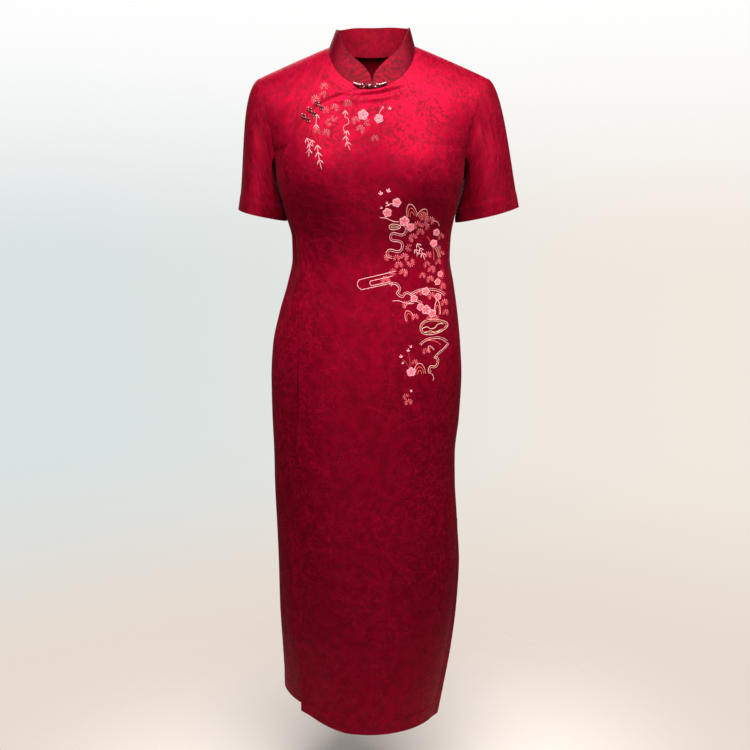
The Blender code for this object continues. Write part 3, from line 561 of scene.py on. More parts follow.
def chestPoint(face, lateral, rise):
    side = signedPower(np.sin(lateral), bustPower)
    centre, halfWidth = chestSpan(rise)
    share = clamp(np.sin(rise)) ** (1 / dress["risePower"][face])
    z = dress["bust"] + (ridgeOver(side) - dress["bust"]) * share
    depth = facing[face] * bustRow[face] * np.abs(np.cos(lateral)) ** bustPower
    y = dress["ridgeDepth"] + (depth - dress["ridgeDepth"]) * np.cos(rise)
    return np.stack([centre + halfWidth * side, y, z], -1)


def riseAt(face, lateral, height):
    ridge = ridgeOver(signedPower(np.sin(lateral), bustPower))
    share = clamp((height - dress["bust"]) / (ridge - dress["bust"]))
    return np.arcsin(share ** dress["risePower"][face])


def lateralAt(across, rise):
    centre, halfWidth = chestSpan(rise)
    side = np.clip((across - centre) / halfWidth, -1.0, 1.0)
    return np.arcsin(signedPower(side, 1 / bustPower))


def necklinePlace(face, turn):
    across = dress["neckHalfWidth"] * np.sin(turn)
    rise = np.full_like(across, 1.2)
    for _ in range(dress["solveSteps"]):
        lateral = lateralAt(across, rise)
        rise = riseAt(face, lateral, -dress["neckDrop"][face] * np.cos(turn))
    return lateral, rise


def panelTop(face, share):
    # a column's upper end, on the neckline or on the shoulder seam
    neck, armhole = dress["neckShare"], dress["armholeShare"]
    lateral, rise = necklinePlace(face, np.clip(share / neck, -1.0, 1.0) * math.pi / 2)
    outside = clamp((np.abs(share) - neck) / (armhole - neck))
    reach = dress["neckHalfWidth"] + (dress["shoulderTipHalf"] - dress["neckHalfWidth"]) * outside
    seamX = np.sign(share) * reach + dress["shoulderCentre"] * outside
    onShoulder = np.abs(share) > neck - 1e-6
    lateral = np.where(onShoulder, lateralAt(seamX, np.pi / 2 + 0 * share), lateral)
    return lateral, np.where(onShoulder, np.pi / 2, rise)


def rowHeight(face, share, level):
    # up to the armhole's lower edge, which is level across the chest between the armholes
    armhole = dress["armholeShare"]
    outside = clamp((np.abs(share) - armhole) / (1 - armhole)) ** dress["underarmPower"]
    top = dress["armholeTurn"] + (dress["underarm"] - dress["armholeTurn"]) * outside
    if face == "front":
        near = clamp((-share - dress["frontLiftStart"]) / (1 - dress["frontLiftStart"]))
        lift = dress["rightHemLiftFront"] * near ** dress["frontLiftPower"]
    else:
        lift = dress["rightHemLiftBack"] * easeIn(-share / dress["backLiftReach"])
    fade = (1 - clamp(level / dress["hemFadeLevel"])) ** 2
    return dress["hemHeight"] * (1 - level) + top * level + lift * fade


def surfaceNormal(place, first, second, step=1e-4):
    across = place(first + step, second) - place(first - step, second)
    upward = place(first, second + step) - place(first, second - step)
    normal = np.cross(across, upward)
    return normal / (np.linalg.norm(normal, axis=-1, keepdims=True) + 1e-15)


def smoothPoint(face, share, level):
    # level runs 0 to 1 from the hem to the armhole's turn and 1 to 2 up to the top
    height = rowHeight(face, share, clamp(level))
    right, left = seamAngle("right", height), seamAngle("left", height)
    part = (share + 1) / 2
    if face == "front":
        lateral = angle = right + (left - right) * part
    else:
        angle = right + (left - 2 * np.pi - right) * part
        lateral = -np.pi - angle
    lowHeight = np.minimum(height, dress["bust"])
    topLateral, topRise = panelTop(face, share)
    up = clamp(level - 1)
    chestLateral = lateral + (topLateral - lateral) * up
    rise = riseAt(face, lateral, height)
    rise = rise + (topRise - rise) * up
    highNormal = surfaceNormal(partial(chestPoint, face), chestLateral, rise) * -facing[face]
    isLow = ((height < dress["bust"]) & (level <= 1))[..., None]
    around = np.where(level <= 1, lateral, chestLateral)
    return (
        np.where(isLow, bodyPoint(angle, lowHeight), chestPoint(face, chestLateral, rise)),
        around if face == "front" else -np.pi - around,
        np.where(isLow, surfaceNormal(bodyPoint, angle, lowHeight), highNormal),
    )


def swellRise(face, point):
    total = np.zeros(point.shape[:-1])
    for side, across, height, radius, rise in zip(*swells.values()):
        if side == facing[face]:
            total += rise * bell(np.hypot(point[..., 0] - across, point[..., 2] - height), radius)
    return total


def creaseRise(angle, height):
    total = np.zeros(angle.shape)
    radius = dress["bodyRadius"]
    for angle0, height0, angle1, height1, halfWidth, rise in zip(*creases.values()):
        away = (angle - math.radians(angle0) + np.pi) % (2 * np.pi) - np.pi
        sweep, fall = math.radians(angle1 - angle0) * radius, height1 - height0
        length = math.hypot(sweep, fall)
        u, v = away * radius, height - height0
        along = np.abs((u * sweep + v * fall) / length**2 - 0.5)
        beyond = np.clip(along - 0.5, 0.0, None) * length
        aside = np.abs(u * fall - v * sweep) / length
        taper = 1 - dress["creaseTaper"] * clamp(along * 2) ** 2
        fade = bell(beyond, dress["creaseEndShare"] * halfWidth)
        total += rise * taper * fade * bell(aside, halfWidth)
    return total


def slitRise(face, share, height):
    if face == "back":
        return 0.0 * share
    below = easeIn((dress["slitTop"] - height) / dress["slitLiftLength"])
    inward = clamp((1 - np.abs(share)) * dress["halfWidth"] / dress["slitEaseWidth"])
    return dress["slitLift"] * below * (1 - inward) ** 2


def finishRise(share, level, height):
    # the doubled cloth of the hem and slit bands, the side seams and the armholes
    fromSeam = clamp(1 - np.abs(share)) * dress["halfWidth"]
    isOpen = easeIn((dress["slitTop"] - height) / dress["slitEaseLength"])
    hem = easeIn((dress["hemBand"] - level * dress["skirtLength"]) / dress["bandEdge"])
    slit = easeIn((dress["slitBand"] - fromSeam) / dress["bandEdge"]) * isOpen
    seam = bell(fromSeam, dress["sideSeamWidth"]) * (1 - isOpen) * (level < 1)
    fromArmhole = (np.abs(share) - dress["armholeShare"]) * dress["halfWidth"]
    armhole = bell(fromArmhole, dress["armholeDipWidth"]) * (level > 1)
    rise = dress["sideSeamRise"] * seam - dress["armholeDip"] * armhole
    return dress["hemBandRise"] * np.maximum(hem, slit) + rise


def clothPlace(face, share, level, fine=True):
    share, level = np.broadcast_arrays(np.asarray(share, float), np.asarray(level, float))
    point, angle, normal = smoothPoint(face, share, level)
    height = point[..., 2]
    lift = swellRise(face, point) + creaseRise(angle, height)
    lift = lift + slitRise(face, share, height)
    if fine:
        lift = lift + finishRise(share, level, height)
    return point + normal * lift[..., None], normal


def openingLevel(share):
    low, high = np.full(share.shape, 1.0), np.full(share.shape, 2.0)
    for _ in range(dress["solveSteps"]):
        middle = (low + high) / 2
        point = smoothPoint("front", share, middle)[0]
        above = point[..., 2] > smoothColumn(openingPath["across"], openingPath["height"], point[..., 0])
        high = np.where(above, middle, high)
        low = np.where(above, low, middle)
    return np.clip(low, 1.06, 2.0)


def cellsOf(keep):
    # corners of each cell of a grid that is kept, as numbers of the grid's points
    number = np.arange(keep.size).reshape(keep.shape)
    corners = np.stack([number[:-1, :-1], number[:-1, 1:], number[1:, 1:], number[1:, :-1]], -1)
    corners = corners.reshape(-1, 4)
    return corners[keep.ravel()[corners].all(1)]


def lengthsAlong(points):
    # how far along its row each point of a grid lies
    steps = np.linalg.norm(np.diff(points, axis=1), axis=2)
    return np.pad(steps.cumsum(1), ((0, 0), (1, 0)))


def gridLengths(points):
    # how far each point lies along its row from the middle column, and up its column
    across = lengthsAlong(points)
    across -= across[:, across.shape[1] // 2][:, None]
    return np.stack([across, lengthsAlong(points.swapaxes(0, 1)).T], -1)


def makeMesh(name, vertices, quads, places, *materials):
    # places are the corners' places on the flat cloth, in metres
    mesh = bpy.data.meshes.new(name)
    mesh.from_pydata(vertices.tolist(), [], quads.tolist())
    layer = mesh.uv_layers.new(name="cloth")
    layer.uv.foreach_set("vector", places.astype(np.float32).ravel())
    for material in materials:
        mesh.materials.append(material)
    mesh.shade_smooth()
    return mesh


def addPiece(mesh):
    piece = addObject(mesh.name, mesh)
    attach(piece, "root")
    return piece


def makeShell(name, points, shift, node, keep=None, closed=False, flip=False,
              cloth=rightSide, thickness=dress["thickness"]):
    # points is a grid, and closed where its rows go all round and end on their first point;
    # shift moves the piece to its own place on the flat cloth
    whole = np.ones(points.shape[:2], bool) if keep is None else keep
    used = whole.copy()
    if closed:
        used[:, -1] = False
    number = (np.cumsum(used) - 1).reshape(used.shape)
    if closed:
        number[:, -1] = number[:, 0]
    cells = cellsOf(whole)
    if flip:
        cells = cells[:, ::-1]
    places = gridLengths(points) * (1.0, -1.0 if closed else 1.0) + shift
    places = places.reshape(-1, 2)[cells]
    mesh = makeMesh(name, points[used], number.ravel()[cells], places, cloth, wrongSide)
    shell = addPiece(mesh)
    wall = shell.modifiers.new("wall", "SOLIDIFY")
    wall.thickness = thickness
    wall.offset = -1.0
    wall.material_offset = 1
    wall.material_offset_rim = 0
    rim = shell.modifiers.new("softRim", "BEVEL")
    rim.width = dress["rimShare"] * thickness
    rim.segments = 2
    rim.limit_method = "ANGLE"
    rim.angle_limit = math.radians(dress["rimAngle"])
    rim.harden_normals = True
    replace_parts(shell, node)
    return shell


panels = {
    "sideColumns": 18,
    "sideCrowding": 1.25,
    "shoulderColumns": 26,
    "neckColumns": 20,
    "skirtRows": 190,
    "chestRows": 60,
    "hemRows": 14,               # of the skirt rows, crowded round the hem band
    "hemRowsReach": 1.2,         # up to this many of its depths
    "openingEnd": -0.01,         # share of the front where the slanted opening ends
    "underEnd": -0.019,
    "openingLap": 0.012,         # how far the under piece runs on below the front's edge
    "openingSink": 0.0022,
    "openingEase": 0.006,
    "openingRows": 34,
    # each piece's flat size and area
    "front": ((0.44, 1.25), 0.43),
    "back": ((0.52, 1.30), 0.61),
    "under": ((0.20, 0.17), 0.022),
}


def panelShares():
    neck, armhole = dress["neckShare"], dress["armholeShare"]
    side = 1 - (1 - armhole) * stops(panels["sideColumns"]) ** panels["sideCrowding"]
    shoulder = stops(panels["shoulderColumns"], armhole, neck)[1:]
    half = np.concatenate([side, shoulder, stops(panels["neckColumns"], neck, 0.0)[1:]])
    return np.concatenate([-half, half[-2::-1]])


def panelLevels():
    hemTop = panels["hemRowsReach"] * dress["hemBand"] / dress["skirtLength"]
    skirt = stops(panels["skirtRows"] - panels["hemRows"], hemTop, 1.0)
    chest = stops(panels["chestRows"], 1.0, 2.0)
    return np.concatenate([stops(panels["hemRows"], 0.0, hemTop), skirt[1:], chest[1:]])


shares = panelShares()
withinArmholes = np.abs(shares) <= dress["armholeShare"] + 1e-9


def makePanel(face, tops):
    levels = panelLevels()
    share, level = np.meshgrid(shares, levels)
    level = np.where(level > 1, 1 + clamp(level - 1) * (tops - 1), level)
    if face == "front":
        # the edge laps over the back's, and further down the slits
        start = dress["lapStart"]
        past = dress["slitTop"] - dress["slitLiftLength"] - rowHeight(face, share, np.minimum(level, 1.0))
        past = easeIn(past / (dress["slitLapLength"] - dress["slitLiftLength"]))
        lap = np.maximum(dress["slitLap"] * past, dress["sideSeamLap"]) / dress["halfWidth"]
        share = share + np.sign(share) * lap * clamp((np.abs(share) - start) / (1 - start))
    keep = (levels[:, None] <= 1) | withinArmholes
    return makeShell(face + "Panel", clothPlace(face, share, level)[0], (0.0, 0.0), face,
                     keep, flip=face == "back")


def makeUnderPiece():
    own = shares[withinArmholes & (shares <= panels["underEnd"])]
    top = openingLevel(own)
    low = np.maximum(top - panels["openingLap"] / dress["chestLength"], 1.0)
    level = low + (2.0 - low) * stops(panels["openingRows"])[:, None]
    points, normal = clothPlace("front", own, level)
    below = (top - level) * dress["chestLength"] + panels["openingEase"]
    sink = panels["openingSink"] * easeIn(below / panels["openingEase"])
    return makeShell("frontUnderPiece", points - normal * sink[..., None], (-0.05, 1.1),
                     "front_under_piece")


wholeTops = np.full(len(shares), 2.0)
crossed = withinArmholes & (shares < panels["openingEnd"])
frontTops = wholeTops.copy()
frontTops[crossed] = openingLevel(shares[crossed])
frontPanel = makePanel("front", frontTops)
backPanel = makePanel("back", wholeTops)
underPiece = makeUnderPiece()
print("dress: front, back and under piece cut")


collar = {
    "height": 0.044,
    "frontHeight": 0.009,
    "corner": 0.040,
    "lean": 0.21,
    "leanChange": -0.04,
    "backShift": 0.008,
    "sideDip": 0.0130,
    "dipReach": 0.038,
    "baseGap": 0.0005,
    "backLap": 0.0040,           # the collar's back runs down inside the neckline
    "backLapEase": 0.02,
    "rows": 16,
    "neckColumns": 30,
    "thickness": 0.0022,
    "sheet": ((0.42, 0.05), 0.0165),
}


def makeCollar():
    # round the neckline from the front centre by the wearer's left, the back and the right
    neck, count = dress["neckShare"], collar["neckColumns"]
    half, behind = stops(count, 0.0, neck), stops(2 * count, neck, -neck)[1:]
    course = (("front", half), ("back", behind), ("front", -half[-2::-1]))
    base = np.concatenate([clothPlace(face, share, 2.0, False)[0] for face, share in course])
    along = lengthsAlong(base[None])[0]
    nearEnd = np.minimum(along, along[-1] - along)
    corner = np.sqrt(1 - (1 - clamp(nearEnd / collar["corner"])) ** 2)
    height = collar["frontHeight"] + (collar["height"] - collar["frontHeight"]) * corner
    for place in (along[count], along[-1 - count]):
        height -= collar["sideDip"] * bell(along - place, collar["dipReach"])
    share = collar["lean"] + collar["leanChange"] * base[:, :1] / dress["neckHalfWidth"]
    lean = (base - base.mean(0)) * np.array([-1.0, -1.0, 0.0]) * share
    upward = unit(lean + np.array([0.0, collar["backShift"], collar["height"]]))
    foot = collar["baseGap"] - collar["backLap"] * easeIn(base[:, 1] / collar["backLapEase"])
    lift = foot + (height - foot) * stops(collar["rows"])[:, None]
    return makeShell("standCollar", base + upward * lift[..., None], (0.33, 0.07), "collar",
                     cloth=collarShadedSatin, thickness=collar["thickness"])


standCollar = makeCollar()
print("dress: collar set")


sleeveShape = {
    "sideReach": 0.080,
    "underReach": 0.030,
    "hemReachTop": 0.190,
    "hemReachUnder": 0.060,
    "underarmSpread": 1.2,
    "innerShare": 0.20,
    "clearance": 0.0012,
    "seamLap": 0.0015,           # the sleeve starts this far over the armhole's edge
    "sideStops": 10,
    "chestStops": 46,
    "rows": 56,
    "band": 0.026,               # depth of the turned hem
    "bandRise": 0.0007,
    "creaseEase": 0.25,
    "sheet": ((0.40, 0.20), 0.048),
    # out and in are the hem oval's ends as seen from the front
    "right": {"sign": -1.0, "out": (-0.2345, -0.266), "in": (-0.1505, -0.286),
              "depth": 0.056, "centreY": 0.004, "capReach": 0.113},
    "left": {"sign": 1.0, "out": (0.2560, -0.262), "in": (0.1470, -0.289),
             "depth": 0.057, "centreY": 0.004, "capReach": 0.094},
}

# around runs 0 at the underarm, 0.25 in front, 0.5 on top, 0.75 behind; side is the sign
sleeveCreases = table("side around start end halfWidth rise", [
    (-1, 0.17, 0.05, 1, 0.06, -0.004), (-1, 0.31, 0.2, 1, 0.06, 0.0035),
    (-1, 0.44, 0.3, 1, 0.05, -0.002), (-1, 0.7, 0.2, 1, 0.055, 0.0035),
    (-1, 0.83, 0.15, 1, 0.055, -0.0035), (1, 0.13, 0.02, 0.9, 0.05, -0.0045),
    (1, 0.26, 0.05, 1, 0.055, 0.004), (1, 0.3, 0.02, 0.3, 0.022, -0.004),
    (1, 0.4, 0.2, 1, 0.05, -0.0025), (1, 0.36, 0.1, 0.45, 0.011, -0.0026),
    (1, 0.7, 0.2, 1, 0.055, 0.0035), (1, 0.83, 0.15, 1, 0.055, -0.0035),
])


def armholeCurve(sign):
    # round the armhole from the underarm by the front, and which way is out of it
    armhole = dress["armholeShare"]
    side = stops(sleeveShape["sideStops"], 1.0, armhole)
    chest = stops(sleeveShape["chestStops"], 1.0, 2.0)[1:]
    share = np.concatenate([side, np.full(len(chest), armhole)])
    level = np.concatenate([np.ones(len(side)), chest])
    edges, ways = [], []
    for face, order in (("front", slice(None)), ("back", slice(-2, 0, -1))):
        here = clothPlace(face, sign * share, level, False)[0]
        inside = clothPlace(face, sign * (share - 0.01), level, False)[0]
        edges.append(here[order])
        ways.append(unit(here - inside)[order])
    return np.concatenate(edges), np.concatenate(ways)


def sleeveCreaseRise(sign, around, part):
    total = np.zeros(around.shape)
    ease = sleeveShape["creaseEase"]
    for side, place, start, end, halfWidth, rise in zip(*sleeveCreases.values()):
        if side == sign:
            share = easeIn((part - start) / ease) * clamp((end + ease - part) / ease)
            total += rise * share * bell((around - place + 0.5) % 1.0 - 0.5, halfWidth)
    return total


def makeSleeve(name, tree):
    own = sleeveShape[name]
    sign = own["sign"]
    start, outward = armholeCurve(sign)
    ends = [np.array([own[end][0], own["centreY"], own[end][1]]) for end in ("in", "out")]
    centre, inward = sum(ends) / 2, (ends[0] - ends[1]) / 2
    down = np.array([inward[2], 0.0, -inward[0]])
    down = unit(down * -np.sign(down[2]))
    around = lengthsAlong(np.concatenate([start, start[:1]])[None])[0]
    around = around[:-1] / around[-1]
    turn = 2 * np.pi * around
    hem = centre + np.cos(turn)[:, None] * inward
    hem[:, 1] -= own["depth"] * np.sin(turn)
    # every stop runs out of the armhole and turns down to the hem
    top = ((1 - np.cos(turn)) / 2)[:, None]
    under = down + np.array([sign * sleeveShape["underarmSpread"], 0.0, 0.0])
    leave = unit(top * outward + (1 - top) * under)
    sideReach, underReach = sleeveShape["sideReach"], sleeveShape["underReach"]
    reach = underReach + (sideReach - underReach) * clamp(top * 2)
    reach = reach + (own["capReach"] - sideReach) * clamp(top * 2 - 1)
    hemReach = sleeveShape["hemReachTop"] - sleeveShape["hemReachUnder"]
    arrive = (sleeveShape["hemReachUnder"] + hemReach * top) * down
    start = start - sleeveShape["seamLap"] * outward
    rows = []
    for part in stops(sleeveShape["rows"]):
        row = cubic(part, start, reach * leave, hem, arrive)
        fromHem = np.linalg.norm(hem - row, axis=1)
        lift = sleeveCreaseRise(sign, around, part)
        lift += sleeveShape["bandRise"] * easeIn((sleeveShape["band"] - fromHem) / dress["bandEdge"])
        rows.append(row + unit(row - row.mean(0)) * lift[:, None])
    points = np.array(rows)
    # the inner side stays clear of the body
    nearBody = np.abs(around - 0.5) > 0.5 - sleeveShape["innerShare"]
    for row in points[1:]:
        for column in np.nonzero(nearBody)[0]:
            point = Vector(row[column])
            near, normal, _, _ = tree.find_nearest(point)
            short = sleeveShape["clearance"] - (point - near).dot(normal)
            if short > 0:
                row[column] = point + normal * short
    return makeShell(name + "Sleeve", np.concatenate([points, points[:, :1]], 1), (sign * 0.7, 1.3),
                     "sleeve_" + name, closed=True, flip=name == "left",
                     cloth=sleeveShadedSatin)


def clothTree(*pieces):
    # one surface of the pieces' outer faces
    vertices, polygons = [], []
    for piece in pieces:
        offset = len(vertices)
        vertices += [vertex.co.copy() for vertex in piece.data.vertices]
        polygons += [[offset + corner for corner in face.vertices] for face in piece.data.polygons]
    return BVHTree.FromPolygons(vertices, polygons)


bodyTree = clothTree(frontPanel, backPanel, underPiece)
for name in ("right", "left"):
    makeSleeve(name, bodyTree)
print("dress: sleeves set in")


embroidery = {
    "anchors": {"chest": (-0.040, -0.110), "waist": (0.013, -0.232)},
    "depths": {"chest": 0.46, "waist": 1.0},
    "threads": {
        "petal": (0.88, 0.17, 0.22),
        "rim": (1.0, 0.44, 0.50),
        "scroll": (1.0, 0.50, 0.51),
        "leaf": (0.60, 0.070, 0.095),
        "arch": (0.88, 0.14, 0.10),
        "spray": (1.0, 0.60, 0.46),
        "rose": (0.78, 0.075, 0.10),
    },
    "patchRise": 0.0007,         # how far a filled shape domes up from the cloth
    "edgeSink": 0.0002,
    "cordWidth": 0.0010,
    "cordStep": 0.0012,
    "lineSpacing": 0.0030,       # between lines that run side by side
    "threadPitch": 0.0004,
    "sightStart": -0.5,          # the stitches are seated along lines from here
    "frontLimit": 0.03,          # and dropped where they meet no cloth this side of here
    # metres for each unit of the tables below
    "centimetre": 0.01,
    "fanScale": 0.0112,
    "sprigLeafScale": 0.013,
}

frontTree = clothTree(frontPanel, underPiece)
threadWork = defaultdict(list)     # grids of points by their thread


def fromFront(tree, across, height):
    # the first face met by a line that runs back at this place
    start = Vector((across, embroidery["sightStart"], height))
    return tree.ray_cast(start, Vector((0.0, 1.0, 0.0)))


def addPatch(thread, grid, lift):
    # grid holds places (across, height) seen from the front; lift how far each stands off
    points = []
    for place, rise in zip(grid.reshape(-1, 2), lift.ravel()):
        hit, normal, _, _ = fromFront(frontTree, *place)
        if hit is None or hit.y > embroidery["frontLimit"]:
            return
        points.append(hit + (normal if normal.y < 0 else -normal) * rise)
    threadWork[thread].append(np.array(points).reshape(*grid.shape[:2], 3))


def turned(points, degrees):
    turn = math.radians(degrees)
    spin = np.array([[math.cos(turn), math.sin(turn)], [-math.sin(turn), math.cos(turn)]])
    return np.asarray(points) @ spin


def arc(first, last, stations, width, height):
    turns = np.radians(np.linspace(first, last, stations))
    return np.stack([width * np.cos(turns), height * np.sin(turns)], -1)


def addPetal(thread, base, degrees, length, width, point=0.5):
    # a filled petal or leaf from its base outwards, 0 degrees to the right; a higher
    # point makes it more slender at both ends
    along, aside = np.meshgrid(np.linspace(0.02, 0.98, 7), np.linspace(-1.0, 1.0, 5), indexing="ij")
    half = width / 2 * np.sin(np.pi * along) ** point
    grid = turned(np.stack([along * length, aside * half], -1), degrees) + base
    dome = (1 - aside**2) * np.sin(np.pi * along) ** 0.5
    addPatch(thread, grid, embroidery["patchRise"] * dome - embroidery["edgeSink"])


def smoothPath(points):
    # a smooth curve through the points, with stations a short step apart
    points = np.array(points, float)
    ends = np.concatenate([[2 * points[0] - points[1]], points, [2 * points[-1] - points[-2]]])
    pieces = []
    for a, b, c, d in zip(ends, ends[1:], ends[2:], ends[3:]):
        count = max(2, math.ceil(np.linalg.norm(c - b) / embroidery["cordStep"]))
        t = (np.arange(count) / count)[:, None]
        bend = (2 * a - 5 * b + 4 * c - d) * t**2 + (3 * b - a - 3 * c + d) * t**3
        pieces.append(0.5 * (2 * b + (c - a) * t + bend))
    return np.concatenate(pieces + [points[-1:]])


def addCord(thread, points, width=embroidery["cordWidth"], shift=0.0):
    # a half-round line of stitches; shift moves it aside to double another
    path = smoothPath(points)
    ahead = np.gradient(path, axis=0)
    aside = unit(np.stack([-ahead[:, 1], ahead[:, 0]], -1))
    across = np.linspace(-1.0, 1.0, 5)
    grid = path[:, None] + aside[:, None] * (shift + across * width / 2)[:, None]
    lift = 0.5 * width * np.sqrt(1 - across**2) - embroidery["edgeSink"]
    addPatch(thread, grid, np.repeat(lift[None], len(path), 0))


def addBlossom(place, radius, degrees=0.0, petal="petal"):
    for turn in degrees + 72.0 * np.arange(5):
        middle = place + turned([0.50 * radius, 0.0], turn)
        base = middle - turned([0.42 * radius, 0.0], turn)
        addPetal(petal, base, turn, 0.90 * radius, 0.84 * radius)
        edge = arc(-112.0, 112.0, 9, 0.44 * radius, 0.41 * radius)
        addCord("rim", middle + turned(edge, turn), 0.17 * radius)
        knot = place + turned([0.30 * radius, 0.0], turn + 36.0)
        addPetal("spray", knot - [0.06 * radius, 0.0], 0.0, 0.13 * radius, 0.13 * radius)
    addPetal("rose", place - [0.14 * radius, 0.0], 0.0, 0.28 * radius, 0.28 * radius)


def addRose(*facts):
    addBlossom(*facts, petal="rose")


def addFan(place, size, degrees, inner):
    # slender petals that open out from one point, the fuller fans with pale tips
    for turn in stops(inner + 1, -115.0, 115.0):
        length = size * (0.55 + 0.45 * math.cos(math.radians(turn) / 2))
        heading = degrees + turn
        if inner > 5 and abs(turn) < 40:
            tip = place + turned([0.55 * size, 0.0], heading)
            addPetal("rim", tip, heading, 0.5 * length, 0.16 * size, 0.8)
        start = place + turned([0.12 * size, 0.0], heading)
        addPetal("leaf", start, heading, length, 0.24 * size, 0.8)


def addBud(place, size, degrees):
    for turn, share in ((-42.0, 0.7), (42.0, 0.8), (0.0, 1.0)):
        addPetal("rim", place, degrees + turn, size * share, 0.26 * size, 0.7)


def addSprig(points, pairs, leafLength):
    # a hanging stem with slender leaves in pairs that fall away from it
    addCord("scroll", points)
    path = smoothPath(points)
    for place in np.linspace(0.02, 0.62, pairs):
        row = min(int(place * (len(path) - 1)), len(path) - 2)
        ahead = path[row + 1] - path[row]
        heading = math.degrees(math.atan2(ahead[1], ahead[0]))
        for lean in (-36.0, 36.0):
            addPetal("scroll", path[row], heading + lean, leafLength, 0.19 * leafLength, 0.8)


def addLines(thread, lines, path):
    # lines side by side, the first one the widest
    for line in range(lines):
        width = embroidery["cordWidth"] * (1.0 if line == 0 else 0.7)
        addCord(thread, path, width, embroidery["lineSpacing"] * line)


def addStream(place, length, swing, heading, turns, overhang, thread, lines):
    # running water that swings from side to side; with overhang over 1 its bends double back
    share = np.linspace(0.0, 1.0, 5 + math.ceil(12 * turns))
    around = 2 * np.pi * turns * share
    along = length * (share - overhang * np.sin(2 * around) / (4 * np.pi * turns))
    path = np.stack([along, swing * np.sin(around)], -1)
    addLines(thread, lines, turned(path, heading) + place)


def addBar(place, length, height, heading):
    # a long bar of mist, open at its right end
    bow = arc(90.0, 270.0, 9, height / 2, height / 2) + [(height - length) / 2, 0.0]
    path = np.concatenate([[(length / 2, 0.62 * height)], bow, [(0.36 * length, -0.45 * height)]])
    addLines("scroll", 1, turned(path, heading) + place)


def addBasin(place, width, height):
    wave = 1 + 0.07 * np.cos(3 * np.radians(np.linspace(0.0, 372.0, 26)))
    addLines("spray", 2, wave[:, None] * arc(0.0, 372.0, 26, width / 2, height / 2) + place)


def addArches(place, width, height, rings, degrees):
    # arches one inside another
    for ring in range(rings):
        share = 1 - 0.32 * ring
        bow = arc(0.0, 180.0, 9, share * width / 2, share * height)
        addCord("arch" if ring else "scroll", turned(bow, degrees) + place)


# every row starts with its place, and gives it and its lengths in centimetres: right of and
# above the area's anchor
blossoms = {  # radius and turn
    "chest": [(2.6, -0.6, 0.85, 10), (5.1, -1.2, 0.72, 40)],
    "waist": [
        (2.7, -2, 0.74, 0), (1.2, -3.6, 0.74, 30), (4, -5, 0.82, 12), (5, -6, 0.7, 50),
        (9.5, -7, 0.62, 0), (9.1, -8.8, 0.66, 40), (5.4, -30.4, 0.8, 20),
    ],
}
roses = {
    "chest": [],
    "waist": [
        (7.8, -16.8, 0.7, 0), (10, -17.9, 0.62, 30), (5.8, -17.9, 0.6, 15), (6.9, -19.4, 0.62, 50),
        (7.9, -19.9, 0.78, 10), (9, -20.6, 0.7, 35), (9.9, -15.4, 0.55, 20), (10.4, -14.1, 0.5, 0),
    ],
}
fans = {  # size, heading and how many petals between the outer two
    "chest": [
        (-3.7, 3.8, 0.75, 90, 7), (-3.9, 2.6, 0.62, 60, 6), (-5, 1.8, 0.8, 110, 7),
        (-4.8, -3.2, 0.66, 90, 6), (-3.3, -3.5, 0.72, 80, 7), (-3.4, 0, 0.66, 90, 6),
        (-2, 0.4, 0.72, 70, 7), (-2, -1, 0.62, 250, 6), (-2.8, -1.7, 0.62, 200, 6),
        (0.2, 1, 0.7, 100, 7), (1.5, -1.6, 0.72, 120, 7), (2.1, -3, 0.78, 60, 7),
        (3.4, -1.8, 0.62, 180, 6), (4.5, -4.4, 0.62, 90, 6),
    ],
    "waist": [
        (7.3, -4.5, 0.8, 100, 7), (8.3, -5.1, 0.76, 60, 7), (6.2, -5.8, 0.74, 120, 7),
        (7.4, -6, 0.8, 60, 7), (6.7, -7, 0.72, 90, 7), (5.6, -7.9, 0.8, 130, 8),
        (5, -9.4, 0.66, 180, 6), (1.4, -11, 0.66, 150, 7), (2.8, -11.2, 0.66, 90, 6),
        (4, -11.1, 0.78, 60, 8), (5.1, -11.8, 0.76, 300, 7), (3.2, -12.4, 0.74, 100, 7),
        (2.3, -13.4, 0.66, 190, 6), (3.9, -13.7, 0.78, 60, 8), (8.1, -10.9, 0.7, 80, 7),
        (8, -12.4, 0.62, 110, 6), (8.8, -13.4, 0.76, 70, 7), (10, -12.2, 0.62, 90, 6),
        (1, -15, 0.86, 100, 8), (9.6, -21.7, 0.62, 60, 6), (11.4, -20.9, 0.66, 70, 6),
        (4.6, -34.8, 0.62, 140, 6), (5, -35.9, 0.72, 90, 7), (10.4, -7.9, 0.66, 100, 6),
        (9.9, -9.9, 0.58, 60, 6), (10.6, -10.9, 0.62, 120, 7), (7.2, -14.3, 0.62, 80, 6),
        (8.6, -15, 0.7, 100, 7), (6.6, -17.1, 0.62, 70, 6), (8.9, -17.8, 0.72, 110, 7),
        (10.9, -16.4, 0.6, 80, 6), (4.4, -18.9, 0.6, 130, 6), (11.2, -19.2, 0.72, 90, 7),
        (6, -21.2, 0.66, 100, 7), (8.4, -21.6, 0.6, 70, 6), (7.9, -27.1, 0.62, 110, 6),
        (6, -28.9, 0.6, 80, 6),
    ],
}
buds = {  # size and heading
    "chest": [(6.9, 0.2, 0.62, 100), (5.7, 0.4, 0.45, 60)],
    "waist": [
        (0.2, -0.8, 0.75, 105), (1.3, -0.4, 0.8, 75), (1, -2.2, 0.5, 50), (1.5, -2.5, 0.5, 130),
        (0.3, -3, 0.45, 110), (4.8, -26.9, 0.62, 80), (5.2, -26.2, 0.55, 60), (3.7, -27.9, 0.66, 100),
        (4.1, -28.9, 0.55, 130), (5.3, -33.9, 0.55, 50),
    ],
}
